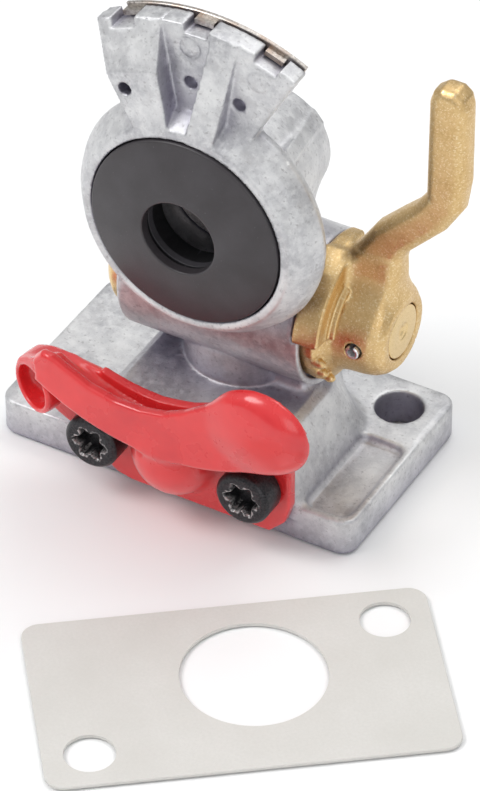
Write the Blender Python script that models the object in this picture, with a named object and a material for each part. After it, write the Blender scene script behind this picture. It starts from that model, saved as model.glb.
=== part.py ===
"""Trailer-brake coupling head with a shut-off cock, for a flange mounting.

The base flange lies on z = 0 with its long side along X.  The seal faces -Y, +Z is up.
All sizes below are millimetres, and meshes are built in them; finish() turns each piece
into metres with MM.
"""
import math

import bmesh
import bpy
from mathutils import Matrix, Vector

MM = 0.001
GAP = 0.3                      # clearance between pieces that touch

# ---- driving dimensions -------------------------------------------------------------
BASE_LEFT, BASE_RIGHT = -45.1, 43.5    # flange, along X
BASE_WIDTH = 50.2              # flange, along Y
BASE_THICK = 9.1
BASE_CORNER = 4.0
BOLT_X, BOLT_Y = 33.5, 15.8    # M10 bolt holes on one diagonal of the flange
BOLT_RADIUS = 5.5
FRONT_Y = -BASE_WIDTH / 2      # front face, which carries the claw

HEAD_X = 3.0                   # plane through the seal axis and the neck axis
HEAD_Z = 73.7                  # seal axis height
SEAL_Y = -25.0                 # front rim of the head
SEAL_RADIUS = 22.5
SEAL_BORE = 8.7
SEAL_CONE = 2.5                # the rubber's bore stands this far in front of its edge
SECTOR_RADIUS = 49.0           # outer radius of the coupling sector
SECTOR_HALF_ANGLE = 28.5
SECTOR_FRONT = -20.0
SECTOR_BACK = -15.0
NOTCH_ANGLES = (-21.0, 0.0, 20.0)

COCK_Y, COCK_Z = 2.3, 42.8     # axis of the cross tube, plug and handle (along X)
TUBE_RADIUS = 17.5
TUBE_LEFT, TUBE_RIGHT = -20.5, 23.0
BORE_RADIUS = 10.5             # bore for the plug
SPINDLE_BORE = 6.5
SPINDLE_RADIUS = SPINDLE_BORE - GAP
SPINDLE_RING = 18.5            # spindle O-ring, along X
PLUG_RADIUS = BORE_RADIUS - GAP
PLUG_LEFT, PLUG_RIGHT = -8.0, 12.6
GROOVE_RADIUS = 8.3            # bottom of the plug's O-ring grooves
RING_RADIUS, RING_TUBE = 9.4, 0.8
RING_PLACES = (-5.6, 10.9)     # plug O-rings, along X
NECK_RADIUS = 14.1
PASSAGE_RADIUS = 5.5           # air way through the neck
PORT_X, PORT_Y, PORT_RADIUS = 3.5, 3.0, 12.0
BLOCK_TOP = 23.5               # top of the raised block on the flange

SCREW_X = (-15.5, 22.2)        # M8 claw screws
SCREW_Z = 15.0
SCREW_RADIUS = 3.9
SCREW_REACH = 16.0             # thread length in the casting
SCREW_HEAD_RADIUS, SCREW_HEAD = 6.5, 6.3
CLAW_BACK = FRONT_Y - GAP
CLAW_PLATE = 3.0
CHANNEL_RADIUS = 49.6          # floor of the claw's channel, about the seal axis
CHANNEL_FRONT, CHANNEL_BACK = -36.2, -28.0
CLAW_FRONT = -38.6
CLAW_RIGHT = 33.0              # right end of the channel's floor
CLAW_FOOT = 2.7                # lower edge of the claw
HOOD_CENTRE = (-29.9, -31.5, 24.5)
HOOD_RADII = (6.6, 9.7, 6.5)
HOOD_WALL = 1.4

HUB_START, HUB_END = 23.4, 41.0    # handle's hub, along X
LEVER_FRONT, LEVER_BACK = -1.2, 5.8
PIN_X, PIN_RADIUS = 34.8, 1.6

GASKET_THICK, GASKET_LENGTH = 0.8, 87.0
GASKET_X, GASKET_Y = 43.0, -72.0
GASKET_TURN = 38.0             # degrees from X, as it lies loose in front
GASKET_PORT_RADIUS = 15.8

# The frame's origin lies on the floor under the middle of the whole set.
ORIGIN_X, ORIGIN_Y = 23.01, -45.92


# ---- helpers ------------------------------------------------------------------------
def clear_scene():
    for item in list(bpy.data.objects):
        bpy.data.objects.remove(item)


def material(name, colour, roughness, metallic):
    mat = bpy.data.materials.new(name)
    mat.use_nodes = True
    shader = mat.node_tree.nodes["Principled BSDF"]
    shader.inputs["Base Color"].default_value = (*colour, 1.0)
    shader.inputs["Roughness"].default_value = roughness
    shader.inputs["Metallic"].default_value = metallic
    return mat


def solid(name, points, faces):
    """Make one object from points in millimetres and close its normals outwards."""
    bm = bmesh.new()
    verts = [bm.verts.new(p) for p in points]
    for face in faces:
        bm.faces.new([verts[i] for i in face])
    bmesh.ops.recalc_face_normals(bm, faces=bm.faces)
    mesh = bpy.data.meshes.new(name)
    bm.to_mesh(mesh)
    bm.free()
    obj = bpy.data.objects.new(name, mesh)
    bpy.context.collection.objects.link(obj)
    return obj


def loft(name, rings):
    """Skin a stack of equal rings of points and cap both ends."""
    count = len(rings[0])
    points = [p for ring in rings for p in ring]
    faces = [list(range(count)), [len(points) - count + i for i in range(count)]]
    for row in range(len(rings) - 1):
        for i in range(count):
            j = (i + 1) % count
            a, b = row * count, (row + 1) * count
            faces.append([a + i, a + j, b + j, b + i])
    return solid(name, points, faces)


def prism(name, outline, axis, low, high):
    """Extrude an outline given in the two other axes, in the order X, Y, Z."""
    def place(u, v, h):
        return {"X": (h, u, v), "Y": (u, h, v), "Z": (u, v, h)}[axis]
    return loft(name, [[place(u, v, low) for u, v in outline],
                       [place(u, v, high) for u, v in outline]])


def turned(name, profile, axis, centre, segments=32):
    """Turn a closed profile of (radius, along) points about an axis through centre.

    A profile that starts and ends at radius zero gives a full solid, any other a ring.
    """
    def place(radius, along, angle):
        u, v = radius * math.cos(angle), radius * math.sin(angle)
        x, y, z = centre
        return {"X": (along, y + u, z + v),
                "Y": (x + u, along, z + v),
                "Z": (x + u, y + v, along)}[axis]
    full = profile[0][0] == 0.0 and profile[-1][0] == 0.0
    body = profile[1:-1] if full else profile
    count = len(body)
    angles = [2 * math.pi * k / segments for k in range(segments)]
    points = [place(r, h, a) for a in angles for r, h in body]
    faces = []
    for k in range(segments):
        a, b = k * count, ((k + 1) % segments) * count
        for i in range(count - 1 if full else count):
            j = (i + 1) % count
            faces.append([a + i, a + j, b + j, b + i])
    if full:
        for row, tip in ((0, profile[0]), (count - 1, profile[-1])):
            rim = [k * count + row for k in range(segments)]
            if tip[1] == body[row][1]:
                faces.append(rim)
                continue
            points.append(place(0.0, tip[1], 0.0))
            faces += [[len(points) - 1, rim[k], rim[k - 1]] for k in range(segments)]
    return solid(name, points, faces)


def rod(name, radius, axis, centre, low, high, segments=32):
    """A plain round bar, for joining to or cutting from another shape."""
    profile = [(0.0, low), (radius, low), (radius, high), (0.0, high)]
    return turned(name, profile, axis, centre, segments)


def torus(name, ring, tube, axis, centre, along, segments=24, sides=6):
    steps = [2 * math.pi * k / sides for k in range(sides)]
    profile = [(ring + tube * math.cos(t), along + tube * math.sin(t)) for t in steps]
    return turned(name, profile, axis, centre, segments)


def ellipsoid(name, centre, radii, segments=20, rows=10):
    angles = [math.pi * k / rows for k in range(rows + 1)]
    profile = [(0.0 if k in (0, rows) else math.sin(a), math.cos(a)) for k, a in enumerate(angles)]
    obj = turned(name, profile, "Z", (0.0, 0.0, 0.0), segments)
    obj.data.transform(Matrix.LocRotScale(Vector(centre), None, Vector(radii)))
    return obj


def rounded_rectangle(x0, x1, y0, y1, radii, steps=4):
    """Corner points anticlockwise from the (x0, y0) corner, one radius per corner."""
    corners = [(x0, y0, 1, 1), (x1, y0, -1, 1), (x1, y1, -1, -1), (x0, y1, 1, -1)]
    outline = []
    for index, ((x, y, sx, sy), radius) in enumerate(zip(corners, radii)):
        for k in range(steps + 1):
            angle = math.radians(180 + 90 * index + 90 * k / steps)
            outline.append((x + sx * radius + radius * math.cos(angle),
                            y + sy * radius + radius * math.sin(angle)))
    return outline


def arc(centre, radius, start, end, steps):
    """Points on a circle; angles in degrees from the first axis."""
    angles = [math.radians(start + (end - start) * k / steps) for k in range(steps + 1)]
    return [(centre[0] + radius * math.cos(a), centre[1] + radius * math.sin(a)) for a in angles]


def head_arc(radius, start, end, steps):
    """Points about the seal axis; angles in degrees to the right of straight up."""
    return arc((HEAD_X, HEAD_Z), radius, 90 - start, 90 - end, steps)


def round_edges(obj, width, segments=2, angle=30.0):
    """Bevel every edge sharper than the angle."""
    bm = bmesh.new()
    bm.from_mesh(obj.data)
    limit = math.radians(angle)
    edges = [e for e in bm.edges if e.is_manifold and e.calc_face_angle() > limit]
    bmesh.ops.bevel(bm, geom=edges, offset=width, segments=segments,
                    affect="EDGES", profile=0.5, clamp_overlap=True)
    bm.to_mesh(obj.data)
    bm.free()
    return obj


def combine(target, tools, operation):
    """Apply exact booleans to the target and remove the tools."""
    for tool in tools:
        modifier = target.modifiers.new(operation.title(), "BOOLEAN")
        modifier.operation = operation
        modifier.object = tool
    graph = bpy.context.evaluated_depsgraph_get()
    mesh = bpy.data.meshes.new_from_object(target.evaluated_get(graph))
    target.modifiers.clear()
    target.data = mesh
    for tool in tools:
        bpy.data.objects.remove(tool)
    tidy_mesh(target)
    return target


def tidy_mesh(obj):
    """Join points that the booleans left on top of each other."""
    bm = bmesh.new()
    bm.from_mesh(obj.data)
    bmesh.ops.remove_doubles(bm, verts=bm.verts, dist=0.005)
    bmesh.ops.dissolve_degenerate(bm, edges=bm.edges, dist=0.005)
    bm.to_mesh(obj.data)
    bm.free()


def finish(obj, mat, pivot=(0.0, 0.0, 0.0), smooth=True):
    """Turn the piece into metres and give it its material and its origin."""
    obj.data.materials.clear()
    obj.data.materials.append(mat)
    obj.data.transform(Matrix.Scale(MM, 4) @ Matrix.Translation(-Vector(pivot)))
    obj.location = Vector(pivot) * MM
    if smooth:
        obj.data.shade_smooth()
        obj.data.set_sharp_from_angle(angle=math.radians(35))
    return obj


# ---- casting ------------------------------------------------------------------------
def flange():
    half_y = BASE_WIDTH / 2
    levels = [(0.0, 0.0), (0.0, BASE_THICK - 0.9), (0.35, BASE_THICK - 0.3), (0.9, BASE_THICK)]
    rings = []
    for inset, z in levels:
        outline = rounded_rectangle(BASE_LEFT + inset, BASE_RIGHT - inset, -half_y + inset,
                                    half_y - inset, [BASE_CORNER - inset] * 4)
        rings.append([(x, y, z) for x, y in outline])
    return loft("flange", rings)


def raised_block():
    """Sloped block that carries the neck and takes the claw screws."""
    foot = rounded_rectangle(-24.5, 30.6, FRONT_Y + 0.02, 14.0, [2.0, 2.0, 12.0, 12.0])
    top = rounded_rectangle(-17.5, 25.0, FRONT_Y + 0.02, 7.0, [3.0, 3.0, 9.0, 9.0])
    crest = rounded_rectangle(-15.5, 23.0, FRONT_Y + 1.6, 5.0, [3.0, 3.0, 8.0, 8.0])
    return loft("block", [[(x, y, BASE_THICK - 3.0) for x, y in foot],
                          [(x, y, BASE_THICK) for x, y in foot],
                          [(x, y, BLOCK_TOP - 1.2) for x, y in top],
                          [(x, y, BLOCK_TOP) for x, y in crest]])


def pedestal():
    """Web under the cross tube."""
    outline = rounded_rectangle(-9.0, 21.6, COCK_Y - 8.0, COCK_Y + 10.3, [2.0] * 4, 2)
    return prism("pedestal", outline, "Z", BASE_THICK - 3.0, COCK_Z - 8.0)


def cross_tube():
    profile = [(0.0, TUBE_LEFT), (TUBE_RADIUS - 0.8, TUBE_LEFT), (TUBE_RADIUS, TUBE_LEFT + 0.8),
               (TUBE_RADIUS, TUBE_RIGHT - 0.5), (TUBE_RADIUS - 0.5, TUBE_RIGHT), (0.0, TUBE_RIGHT)]
    return turned("tube", profile, "X", (0.0, COCK_Y, COCK_Z), 40)


def stop_lip():
    """Raised lip on the tube's end; its two ends stop the handle's lugs."""
    start, end = 172.5, 331.0
    outer = arc((COCK_Y, COCK_Z), TUBE_RADIUS, start, end, 20)
    inner = arc((COCK_Y, COCK_Z), 15.9, end, start, 20)
    return prism("lip", outer + inner, "X", TUBE_RIGHT - 1.0, TUBE_RIGHT + 1.6)


def head():
    """Seal head with its tapering rear boss, turned about the seal axis."""
    profile = [(0.0, SEAL_Y), (24.6, SEAL_Y), (25.1, SEAL_Y + 0.4), (27.8, -21.0), (29.2, -17.6),
               (28.9, -16.0), (27.2, -14.2), (21.5, -10.8), (16.2, -8.6), (15.6, 2.4),
               (13.4, 14.0), (12.4, 15.0), (0.0, 15.0)]
    return turned("head", profile, "Y", (HEAD_X, 0.0, HEAD_Z), 48)


def sector():
    outline = head_arc(SECTOR_RADIUS, -SECTOR_HALF_ANGLE, SECTOR_HALF_ANGLE, 24)
    outline += [(HEAD_X + 7.0, HEAD_Z + 15.0), (HEAD_X - 7.0, HEAD_Z + 15.0)]
    return prism("sector", outline, "Y", SECTOR_FRONT, SECTOR_BACK)


def sector_boss():
    """Thick left end of the sector, flush with the head's rim below a sloping top."""
    def ring(radius, y):
        left, right = -SECTOR_HALF_ANGLE, -9.6
        (x0, z0), (x1, z1) = head_arc(radius, left, right, 1)
        return [(x0, y, z0), (x1, y, z1)]
    profile = [(20.0, -17.0), (20.0, SEAL_Y + 0.02), (38.4, SEAL_Y + 0.02),
               (48.6, SECTOR_FRONT), (48.6, -17.0)]
    pairs = [ring(radius, y) for radius, y in profile]
    return loft("sector_boss", [[pair[0] for pair in pairs], [pair[1] for pair in pairs]])


def sector_rib():
    """Narrow rib that leans out from the sector's top to the head's rim."""
    middle = math.radians(8.3)
    along = Vector((math.sin(middle), 0.0, math.cos(middle)))
    across = Vector((math.cos(middle), 0.0, -math.sin(middle)))
    centre = Vector((HEAD_X, 0.0, HEAD_Z))
    profile = [(22.0, -17.0), (22.0, SEAL_Y + 0.02), (27.0, SEAL_Y + 0.02),
               (48.8, SECTOR_FRONT - 0.1), (48.8, -17.0)]
    rings = []
    for side in (-3.1, 3.1):
        rings.append([tuple(centre + along * r + across * side + Vector((0.0, y, 0.0)))
                      for r, y in profile])
    return loft("sector_rib", rings)


def rear_gusset():
    """Rib from the back of the head to the rear boss."""
    angle = math.radians(50.0)
    along = Vector((math.sin(angle), 0.0, math.cos(angle)))
    across = Vector((math.cos(angle), 0.0, -math.sin(angle)))
    centre = Vector((HEAD_X, 0.0, HEAD_Z))

    def ring(y, low, high, half):
        corners = [(low, -half), (low, half), (high, half), (high, -half)]
        return [tuple(centre + along * r + across * s + Vector((0.0, y, 0.0)))
                for r, s in corners]
    return loft("gusset", [ring(-14.5, 9.0, 25.0, 3.6), ring(-8.0, 9.0, 19.5, 1.8),
                           ring(14.2, 9.0, 12.9, 1.3)])


def sector_notches():
    """Three slots in the sector's edge that take the wear plate's tabs."""
    cutters = []
    for angle in NOTCH_ANGLES:
        outline = (head_arc(52.0, angle - 3.4, angle + 3.4, 2)
                   + head_arc(46.9, angle + 3.5, angle - 3.5, 2))
        cutters.append(prism("notch", outline, "Y", -27.0, -13.0))
    return cutters


def sector_holes():
    cutters = []
    for angle in (-24.0, -2.1, 17.0):
        (x, z), _ = head_arc(34.7, angle, angle, 1)
        cutters.append(rod("hole", 1.5, "Y", (x, 0.0, z), -27.0, -13.0, 16))
    return cutters


def head_bores():
    """Seal seat, strainer seat and the air way down through the neck."""
    centre = (HEAD_X, 0.0, HEAD_Z)
    seat = [(0.0, SEAL_Y - 2.0), (SEAL_RADIUS + GAP, SEAL_Y - 2.0), (SEAL_RADIUS + GAP, -18.6),
            (13.0, -18.6), (13.0, -6.0), (9.0, -6.0), (9.0, 8.3), (0.0, 8.3)]
    return [turned("seat", seat, "Y", centre, 36),
            rod("air_way", PASSAGE_RADIUS, "Z", (HEAD_X, COCK_Y, 0.0), 8.0, HEAD_Z, 20)]


def cock_bores():
    """Bore for the plug with the end cap's seat, and the spindle hole."""
    centre = (0.0, COCK_Y, COCK_Z)
    profile = [(0.0, TUBE_LEFT - 1.0), (13.3, TUBE_LEFT - 1.0), (13.3, -12.5),
               (BORE_RADIUS, -12.5), (BORE_RADIUS, 14.4), (SPINDLE_BORE, 14.4),
               (SPINDLE_BORE, TUBE_RIGHT + 3.0), (0.0, TUBE_RIGHT + 3.0)]
    return [turned("cock_bore", profile, "X", centre, 32)]


def flange_cuts():
    pocket_levels = [(7.2, 1.3), (7.8, 0.4), (BASE_THICK + 1.0, 0.0)]
    rings = []
    for z, inset in pocket_levels:
        outline = rounded_rectangle(30.2 + inset, 41.8 - inset, -22.9 + inset, 4.4 - inset,
                                    [2.8 - inset] * 4)
        rings.append([(x, y, z) for x, y in outline])
    cutters = [loft("pocket", rings),
               rod("port", PORT_RADIUS, "Z", (PORT_X, PORT_Y, 0.0), -1.0, 14.0, 32)]
    for side in (1, -1):
        centre = (side * BOLT_X, side * BOLT_Y, 0.0)
        cutters.append(rod("bolt_hole", BOLT_RADIUS, "Z", centre, -1.0, BASE_THICK + 20.0, 24))
    for x in SCREW_X:
        cutters.append(rod("screw_hole", SCREW_RADIUS + GAP, "Y", (x, 0.0, SCREW_Z),
                           FRONT_Y - 1.0, FRONT_Y + SCREW_REACH + 1.5, 16))
    return cutters


def make_housing(mat):
    body = flange()
    neck = rod("neck", NECK_RADIUS, "Z", (HEAD_X, COCK_Y, 0.0), BLOCK_TOP - 6.0, HEAD_Z - 6.0, 36)
    combine(body, [raised_block(), pedestal(), cross_tube(), stop_lip(), neck, head(),
                   sector(), sector_boss(), sector_rib(), rear_gusset()], "UNION")
    combine(body, head_bores() + cock_bores() + flange_cuts(), "DIFFERENCE")
    combine(body, sector_notches() + sector_holes(), "DIFFERENCE")
    body.name = "housing"
    return finish(body, mat)


def make_wear_plate(mat):
    """Steel strip behind the sector's rim, hooked into the three notches."""
    front = SECTOR_BACK + GAP
    back = front + 1.0
    outline = head_arc(49.3, -24.6, 27.8, 22) + head_arc(43.2, 27.8, -24.6, 22)
    plate = prism("wear_plate", outline, "Y", front, back)
    tabs = []
    for angle in NOTCH_ANGLES:
        tab = (head_arc(48.4, angle - 2.7, angle + 2.7, 2)
               + head_arc(47.3, angle + 2.7, angle - 2.7, 2))
        tabs.append(prism("tab", tab, "Y", -16.4, back - 0.4))
    combine(plate, tabs, "UNION")
    return finish(plate, mat, smooth=False)


# ---- seal and strainer --------------------------------------------------------------
def make_face_seal(mat):
    """Rubber ring with a slightly conical front and an undercut for its stiff ring."""
    edge, back = SEAL_Y - 0.5, -18.6 - GAP
    lip = edge - SEAL_CONE
    profile = [(SEAL_BORE, lip + 0.5), (SEAL_BORE + 0.5, lip), (SEAL_RADIUS - 0.7, edge),
               (SEAL_RADIUS, edge + 0.7), (SEAL_RADIUS, back), (10.9, back), (10.9, -24.9),
               (9.7, -24.9), (9.7, -25.7), (SEAL_BORE, -25.7)]
    seal = turned("face_seal", profile, "Y", (HEAD_X, 0.0, HEAD_Z), 36)
    return finish(seal, mat)


def make_seal_ring(mat):
    """Stiff stepped ring that holds the seal's inner edge open."""
    profile = [(9.0, -24.6), (10.6, -24.6), (10.6, -18.0), (9.6, -18.0), (9.6, -22.9),
               (9.0, -22.9)]
    ring = turned("seal_ring", profile, "Y", (HEAD_X, 0.0, HEAD_Z), 24)
    return finish(ring, mat)


def make_strainer(mat):
    """Cup strainer in the air way behind the seal."""
    profile = [(0.0, 6.0), (8.6, 6.0), (8.6, -6.3), (12.6, -6.3), (12.6, -7.6), (7.8, -7.6),
               (7.8, 5.2), (0.0, 5.2)]
    cup = turned("strainer", profile, "Y", (HEAD_X, 0.0, HEAD_Z), 24)
    return finish(cup, mat)


def make_strainer_clip(mat):
    """Open spring clip that holds the strainer's rim."""
    centre = (HEAD_X, HEAD_Z)
    outline = arc(centre, 12.7, 285, 615, 28) + arc(centre, 10.9, 615, 285, 28)
    clip = prism("strainer_clip", outline, "Y", -9.2, -7.9)
    return finish(clip, mat)


# ---- shut-off cock ------------------------------------------------------------------
def make_plug(mat, pivot):
    """Turned plug with its spindle; the cross hole lines up with the air way when open."""
    half = RING_TUBE + 0.4
    points = [(0.0, PLUG_LEFT + 3.0), (4.8, PLUG_LEFT + 3.0), (4.8, PLUG_LEFT)]
    points += [(PLUG_RADIUS, PLUG_LEFT)]
    for place in RING_PLACES:
        points += [(PLUG_RADIUS, place - half), (GROOVE_RADIUS, place - half),
                   (GROOVE_RADIUS, place + half), (PLUG_RADIUS, place + half)]
    points += [(PLUG_RADIUS, PLUG_RIGHT), (SPINDLE_RADIUS, PLUG_RIGHT)]
    points += [(SPINDLE_RADIUS, SPINDLE_RING - half), (4.9, SPINDLE_RING - half),
               (4.9, SPINDLE_RING + half), (SPINDLE_RADIUS, SPINDLE_RING + half)]
    points += [(SPINDLE_RADIUS, HUB_END - 0.5), (SPINDLE_RADIUS - 0.4, HUB_END - 0.1),
               (0.0, HUB_END - 0.1)]
    plug = turned("cock_plug", points, "X", (0.0, COCK_Y, COCK_Z), 24)
    way = rod("way", PASSAGE_RADIUS, "Z", (HEAD_X, COCK_Y, 0.0), 20.0, 70.0, 24)
    pin_hole = rod("pin_hole", PIN_RADIUS + GAP, "Y", (PIN_X, 0.0, COCK_Z), -20.0, 20.0, 16)
    combine(plug, [way, pin_hole], "DIFFERENCE")
    return finish(plug, mat, pivot)


def make_plug_rings(mat, pivot):
    centre = (0.0, COCK_Y, COCK_Z)
    rings = []
    for name, place in zip(("plug_o_ring_left", "plug_o_ring_right"), RING_PLACES):
        rings.append(torus(name, RING_RADIUS, RING_TUBE, "X", centre, place))
    rings.append(torus("spindle_o_ring", 5.7, 0.5, "X", centre, SPINDLE_RING))
    return [finish(ring, mat, pivot) for ring in rings]


def make_thrust_washer(mat):
    profile = [(SPINDLE_BORE + 0.2, PLUG_RIGHT + GAP), (BORE_RADIUS - GAP, PLUG_RIGHT + GAP),
               (BORE_RADIUS - GAP, 14.4 - GAP), (SPINDLE_BORE + 0.2, 14.4 - GAP)]
    washer = turned("thrust_washer", profile, "X", (0.0, COCK_Y, COCK_Z), 24)
    return finish(washer, mat)


def make_end_cap(mat):
    """Brass plug screw that closes the left end of the cross tube."""
    profile = [(0.0, -25.0), (12.6, -25.0), (14.0, -23.6), (14.0, TUBE_LEFT - GAP),
               (13.0, TUBE_LEFT - GAP), (13.0, -18.3), (11.6, -18.3), (11.6, -16.0),
               (13.0, -16.0), (13.0, -12.8), (8.0, -12.8), (8.0, -17.0), (0.0, -17.0)]
    cap = turned("end_cap", profile, "X", (0.0, COCK_Y, COCK_Z), 32)
    slot = prism("slot", [(COCK_Y - 8.0, COCK_Z - 1.3), (COCK_Y + 8.0, COCK_Z - 1.3),
                          (COCK_Y + 8.0, COCK_Z + 1.3), (COCK_Y - 8.0, COCK_Z + 1.3)],
                 "X", -27.0, -23.2)
    combine(cap, [slot], "DIFFERENCE")
    return finish(cap, mat)


def make_cap_ring(mat):
    ring = torus("end_cap_o_ring", 12.5, 0.55, "X", (0.0, COCK_Y, COCK_Z), -17.15)
    return finish(ring, mat)


def make_spring(mat):
    """Coil spring that loads the plug against its thrust washer."""
    turns, steps, sides = 3.5, 14, 5
    coil, wire = 6.4, 0.65
    start, end = -15.9, PLUG_LEFT - GAP - wire
    rings = []
    total = int(turns * steps)
    for k in range(total + 1):
        angle = 2 * math.pi * k / steps
        out = Vector((0.0, math.cos(angle), math.sin(angle)))
        middle = Vector((start + (end - start) * k / total, COCK_Y, COCK_Z)) + out * coil
        ring = []
        for s in range(sides):
            turn = 2 * math.pi * s / sides
            ring.append(tuple(middle + out * (wire * math.cos(turn))
                              + Vector((wire * math.sin(turn), 0.0, 0.0))))
        rings.append(ring)
    return finish(loft("plug_spring", rings), mat)


# ---- handle -------------------------------------------------------------------------
def hub():
    profile = [(0.0, HUB_START), (15.4, HUB_START), (15.4, 27.0), (13.4, 28.2), (12.0, 29.8), (11.5, 32.0),
               (11.3, 35.5), (10.9, 37.8), (10.0, 39.6), (8.6, HUB_END), (0.0, HUB_END)]
    return turned("hub", profile, "X", (0.0, COCK_Y, COCK_Z), 36)


def wing():
    """Curved stop lug in front of the hub, running up into the lever."""
    outline = arc((COCK_Y, COCK_Z), 18.4, 171.0, 100.0, 12)
    outline += arc((COCK_Y, COCK_Z), 9.0, 100.0, 171.0, 6)
    return prism("wing", outline, "X", HUB_START, 29.6)


def back_lug():
    """Thinner rear half of the rim; its end meets the stop lip when the cock is shut."""
    outline = (arc((COCK_Y, COCK_Z), 18.1, 62.5, 118.0, 8)
               + arc((COCK_Y, COCK_Z), 10.0, 118.0, 62.5, 5))
    return prism("back_lug", outline, "X", HUB_START, 27.0)


def lever():
    """Arm and grip, cranked outwards in the XZ plane."""
    outline = [(27.8, 50.0), (27.6, 57.0), (29.6, 62.8), (34.4, 70.2), (39.4, 75.2), (43.8, 79.4),
               (46.4, 83.2), (46.5, 108.0), (47.4, 110.4), (49.6, 111.6), (52.6, 111.6),
               (54.7, 110.4), (55.5, 108.0),
               (55.6, 88.0), (54.6, 81.0), (51.0, 75.0), (42.6, 66.2), (40.6, 62.6), (40.0, 50.0)]
    bar = prism("lever", outline, "Y", LEVER_FRONT, LEVER_BACK)
    return round_edges(bar, 1.9, 2, 60.0)


def root():
    """Broad foot of the lever on the hub."""
    rings = []
    for z, x0, x1, y0, y1 in ((46.0, 26.0, 39.0, -5.6, 10.2), (52.5, 26.4, 39.4, -4.2, 8.8),
                              (58.0, 28.2, 40.0, -1.6, 6.4), (62.0, 31.0, 40.0, -0.6, 5.2)):
        outline = rounded_rectangle(x0, x1, y0, y1, [2.2] * 4, 2)
        rings.append([(x, y, z) for x, y in outline])
    return loft("root", rings)


def make_handle(mat, pivot):
    body = hub()
    combine(body, [wing(), back_lug(), lever(), root()], "UNION")
    bore = rod("hub_bore", SPINDLE_BORE, "X", (0.0, COCK_Y, COCK_Z), 22.0, HUB_END + 2.0, 24)
    pin_hole = rod("pin_hole", PIN_RADIUS + GAP, "Y", (PIN_X, 0.0, COCK_Z), -20.0, 20.0, 16)
    combine(body, [bore, pin_hole], "DIFFERENCE")
    body.name = "handle"
    return finish(body, mat, pivot)


def make_roll_pin(mat, pivot):
    """Slotted spring pin through hub and spindle."""
    centre = (PIN_X, COCK_Z)
    outline = arc(centre, PIN_RADIUS, 110, 430, 16) + arc(centre, 0.9, 430, 110, 16)
    pin = prism("roll_pin", outline, "Y", COCK_Y - 12.0, COCK_Y + 11.4)
    return finish(pin, mat, pivot)


# ---- claw ---------------------------------------------------------------------------
def claw_plate():
    """Flat back that the screws clamp to the casting's front face."""
    lip = [(30.4, 30.5), (22.0, 34.5), (12.0, 31.6), (5.5, 28.9), (-2.3, 27.2), (-10.3, 27.8),
           (-17.5, 29.4), (-25.0, 31.6), (-29.0, 31.0), (-33.4, 28.6), (-35.4, 26.0)]
    foot = [(-35.4, 22.6), (-33.0, 19.6), (-22.3, 18.0), (-22.2, 14.0), (-20.8, 10.2),
            (-17.4, 7.0), (-12.6, CLAW_FOOT + 0.8), (-9.0, CLAW_FOOT), (25.4, CLAW_FOOT),
            (29.0, 6.4), (30.4, 11.0)]
    return prism("claw", foot + lip, "Y", CLAW_BACK - CLAW_PLATE, CLAW_BACK)


def claw_front_wall():
    """Front wall of the channel with its rising lip."""
    under = head_arc(CHANNEL_RADIUS + 2.2, 180 + 35.0, 180 - 36.0, 24)
    lip = [(36.6, 38.0), (34.0, 43.0), (29.5, 46.0), (25.5, 46.6), (21.0, 45.0), (17.5, 42.0),
           (14.0, 39.6), (9.8, 36.6), (5.0, 34.2), (-1.0, 33.0), (-7.2, 33.0), (-13.6, 34.4),
           (-19.0, 37.0), (-22.6, 38.9), (-25.2, 38.6), (-27.4, 36.0)]
    return prism("front_wall", under + lip, "Y", CLAW_FRONT, CHANNEL_FRONT + 0.4)


def claw_floor():
    outline = head_arc(CHANNEL_RADIUS + 2.2, 180 + 35.0, 180 - 36.0, 24)
    outline += head_arc(CHANNEL_RADIUS - 2.0, 180 - 36.0, 180 + 35.0, 24)
    return prism("floor", outline, "Y", CLAW_FRONT + 0.6, CLAW_BACK - 0.4)


def claw_hood():
    """Rounded cup that closes the channel's left end, open to the front."""
    shell = ellipsoid("hood", HOOD_CENTRE, HOOD_RADII, 28, 14)
    hollow = ellipsoid("hollow", HOOD_CENTRE, [r - HOOD_WALL for r in HOOD_RADII], 28, 14)
    square = [(-50.0, -5.0), (-5.0, -5.0), (-5.0, 60.0), (-50.0, 60.0)]
    combine(hollow, [prism("back_wall", square, "Y", CLAW_BACK - HOOD_WALL, 0.0)], "DIFFERENCE")
    front = prism("front_cut", [(-50.0, -24.8), (-20.0, -39.5), (-20.0, -60.0),
                                (-50.0, -60.0)], "Z", 0.0, 50.0)
    return combine(shell, [hollow, front], "DIFFERENCE")


def claw_roof():
    """Web from the top of the plate's left end up to the front wall's top corner."""
    front = [(-24.6, -38.3, 38.6), (-24.6, -38.3, 36.2), (-34.3, -32.4, 26.8), (-34.6, -32.4, 28.8)]
    back = [(-24.6, -26.2, 31.4), (-24.6, -26.2, 29.2), (-33.2, -26.2, 26.4), (-33.6, -26.2, 28.3)]
    return loft("roof", [front, back])


def claw_chin():
    """Bulge under the channel, between the screws."""
    chin = ellipsoid("chin", (2.7, -28.6, 17.6), (10.2, 9.6, 11.2))
    above = prism("above", [(-20.0, 25.5), (30.0, 25.5), (30.0, 60.0), (-20.0, 60.0)],
                  "Y", -60.0, 0.0)
    return combine(chin, [above], "DIFFERENCE")


def claw_channel_space():
    """Path of the mating sector, kept free along the whole channel."""
    outline = head_arc(CHANNEL_RADIUS, 180 + 38.0, 180 - 48.0, 24)
    outline += head_arc(26.0, 180 - 48.0, 180 + 38.0, 12)
    return prism("channel_space", outline, "Y", CHANNEL_FRONT, CHANNEL_BACK)


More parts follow.
